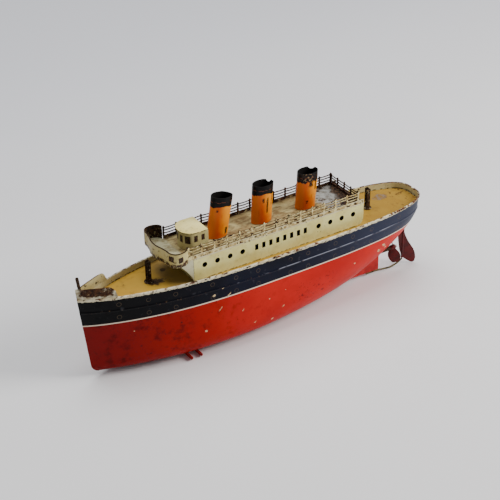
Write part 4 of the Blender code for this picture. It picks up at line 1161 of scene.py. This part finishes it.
def guard_wire(surface):
    """The wire from the skeg's foot, under the screw, up to the rudder's heel."""
    route = [(-196.0, 2.55), (-209.0, 2.5), (-216.0, 1.5), (-222.0, 0.85), (-226.0, 0.85),
             (-231.5, 2.3), (-237.6, 5.4)]
    path = smooth_path([(RAIL_START_X + x, 0, z) for x, z in route], 8)
    work = bmesh.new()
    sweep(work, path, 0.78, 10, 0.12, 9)
    mesh_piece("rudder_guard_finished", work, [surface], ["rudder_guard"])


guard_wire(rusty_metal("guard_wire_rust", (98, 90, 56), 145.0, 0.9))

# Where the blades start and end, from the shaft's line
BLADE_ROOT, BLADE_TIP = 1.2, 15.0


def propeller(surface):
    """Two twisted petals and a turned hub, finer than the CAD screw but of its shape."""
    low, high = span("propeller")
    middle = Vector((high.x - 2.6, 0, (low.z + high.z) / 2))
    work = bmesh.new()
    for turn in (0, math.pi):
        spin = Matrix.Rotation(turn + math.radians(15), 3, "X")
        skins = []
        for i in range(25):
            reach = i / 24
            swell = math.sin(math.pi * (0.02 + 0.93 * reach)) ** 0.8
            half_width = 2.2 + 3.6 * swell
            pitch = math.radians(62 - 34 * reach)
            across = Vector((math.cos(pitch), math.sin(pitch), 0))
            facing = Vector((-math.sin(pitch), math.cos(pitch), 0))
            spine = Vector((-1.5 * reach, 0, BLADE_ROOT + (BLADE_TIP - BLADE_ROOT) * reach))
            row = []
            for k in range(-5, 6):
                cup = facing * 0.35 * (k / 5) ** 2
                thick = facing * 0.4 * (1 - 0.5 * (k / 5) ** 4)
                spot = spine + across * half_width * k / 5 + cup
                row.append([middle + spin @ (spot + thick * sign) for sign in (1, -1)])
            skins.append(row)
        sheet(work, skins, inside=0)
    hub = []
    for x, radius in ((-2.6, 1.4), (-2.6, 2.1), (-2.3, 2.4), (2.0, 2.4), (2.6, 2.0), (2.6, 1.4)):
        turns = [2 * math.pi * k / 28 for k in range(28)]
        hub.append([middle + Vector((x, radius * math.cos(a), radius * math.sin(a)))
                    for a in turns])
    grid(work, hub + hub[:1], wrap=True)
    bmesh.ops.remove_doubles(work, verts=work.verts, dist=1e-4)
    mesh_piece("propeller_finished", work, [surface], ["propeller"], 40,
               body="propeller")


propeller(maroon)

steel = bare_metal("oily_steel", (84, 80, 74), (142, 138, 130), 0.9, 0.3, 151.0, (0.1, 1, 1))
brass = bare_metal("tarnished_brass", (120, 88, 40), (184, 146, 78), 0.9, 0.28, 153.0)
lead = bare_metal("cast_lead", (80, 80, 82), (112, 112, 114), 0.5, 0.5, 155.0)
repaint(brass, "great_wheel", "crown_wheel", "shaft_pinion", "rudder_tube")
repaint(rusty_metal("stern_tube_rust", (96, 74, 52), 147.0, 0.2), "stern_tube")
repaint(steel, "propeller_shaft", "second_arbor", "second_pinion", "winding_arbor", "mainspring",
        "motor_plate_lower", "motor_plate_upper", "motor_pillar_aft_port",
        "motor_pillar_aft_starboard", "motor_pillar_fore_port", "motor_pillar_fore_starboard")
repaint(lead, "ballast_weight")

# ---- floor, light and camera

# The boat stands a hair above the floor, so that no faces share a plane. Both in metres
FLOOR_HALF, FLOOR_GAP = 4.0, 0.0002

floor_data = bpy.data.meshes.new("studio_floor")
floor_work = bmesh.new()
bmesh.ops.create_grid(floor_work, x_segments=8, y_segments=8, size=FLOOR_HALF)
bmesh.ops.translate(floor_work, vec=(0, 0, -FLOOR_GAP), verts=floor_work.verts)
floor_work.to_mesh(floor_data)
floor_work.free()
floor_data.materials.append(floor_paint())
floor = bpy.data.objects.new("studio_floor", floor_data)
bpy.context.scene.collection.objects.link(floor)

world = bpy.data.worlds.new("studio")
bpy.context.scene.world = world
world.use_nodes = True
backdrop = world.node_tree.nodes["Background"]
backdrop.inputs["Color"].default_value = (0.93, 0.95, 1.0, 1.0)
backdrop.inputs["Strength"].default_value = 0.28


def area_light(name, place, size, power, colour):
    """A soft square lamp that looks at the boat."""
    lamp = bpy.data.lights.new(name, "AREA")
    lamp.size = size
    lamp.energy = power
    lamp.color = colour
    obj = bpy.data.objects.new(name, lamp)
    obj.location = place
    obj.rotation_euler = (Vector((0, 0, 0.05)) - Vector(place)).to_track_quat("-Z", "Y").to_euler()
    bpy.context.scene.collection.objects.link(obj)


area_light("key", (-1.35, 0.85, 1.0), 0.8, 34.0, (1.0, 0.98, 0.95))
area_light("top", (0.0, -0.35, 1.8), 1.5, 27.0, (1.0, 1.0, 1.0))

CAMERA_PLACE = (0.4973, 0.7806, 0.62997)
CAMERA_AHEAD = (-0.4536, -0.7243, -0.5193)
CAMERA_ROLL = 0.0130
CAMERA_LENS = 91.67

camera_data = bpy.data.cameras.new("camera")
camera_data.sensor_width = 36.0
camera_data.lens = CAMERA_LENS
camera = bpy.data.objects.new("camera", camera_data)
ahead = Vector(CAMERA_AHEAD).normalized()
right = Matrix.Rotation(CAMERA_ROLL, 3, ahead) @ ahead.cross(Vector((0, 0, 1))).normalized()
axes = Matrix((right, right.cross(ahead), -ahead)).transposed()
camera.matrix_world = Matrix.Translation(CAMERA_PLACE) @ axes.to_4x4()
bpy.context.scene.collection.objects.link(camera)
bpy.context.scene.camera = camera
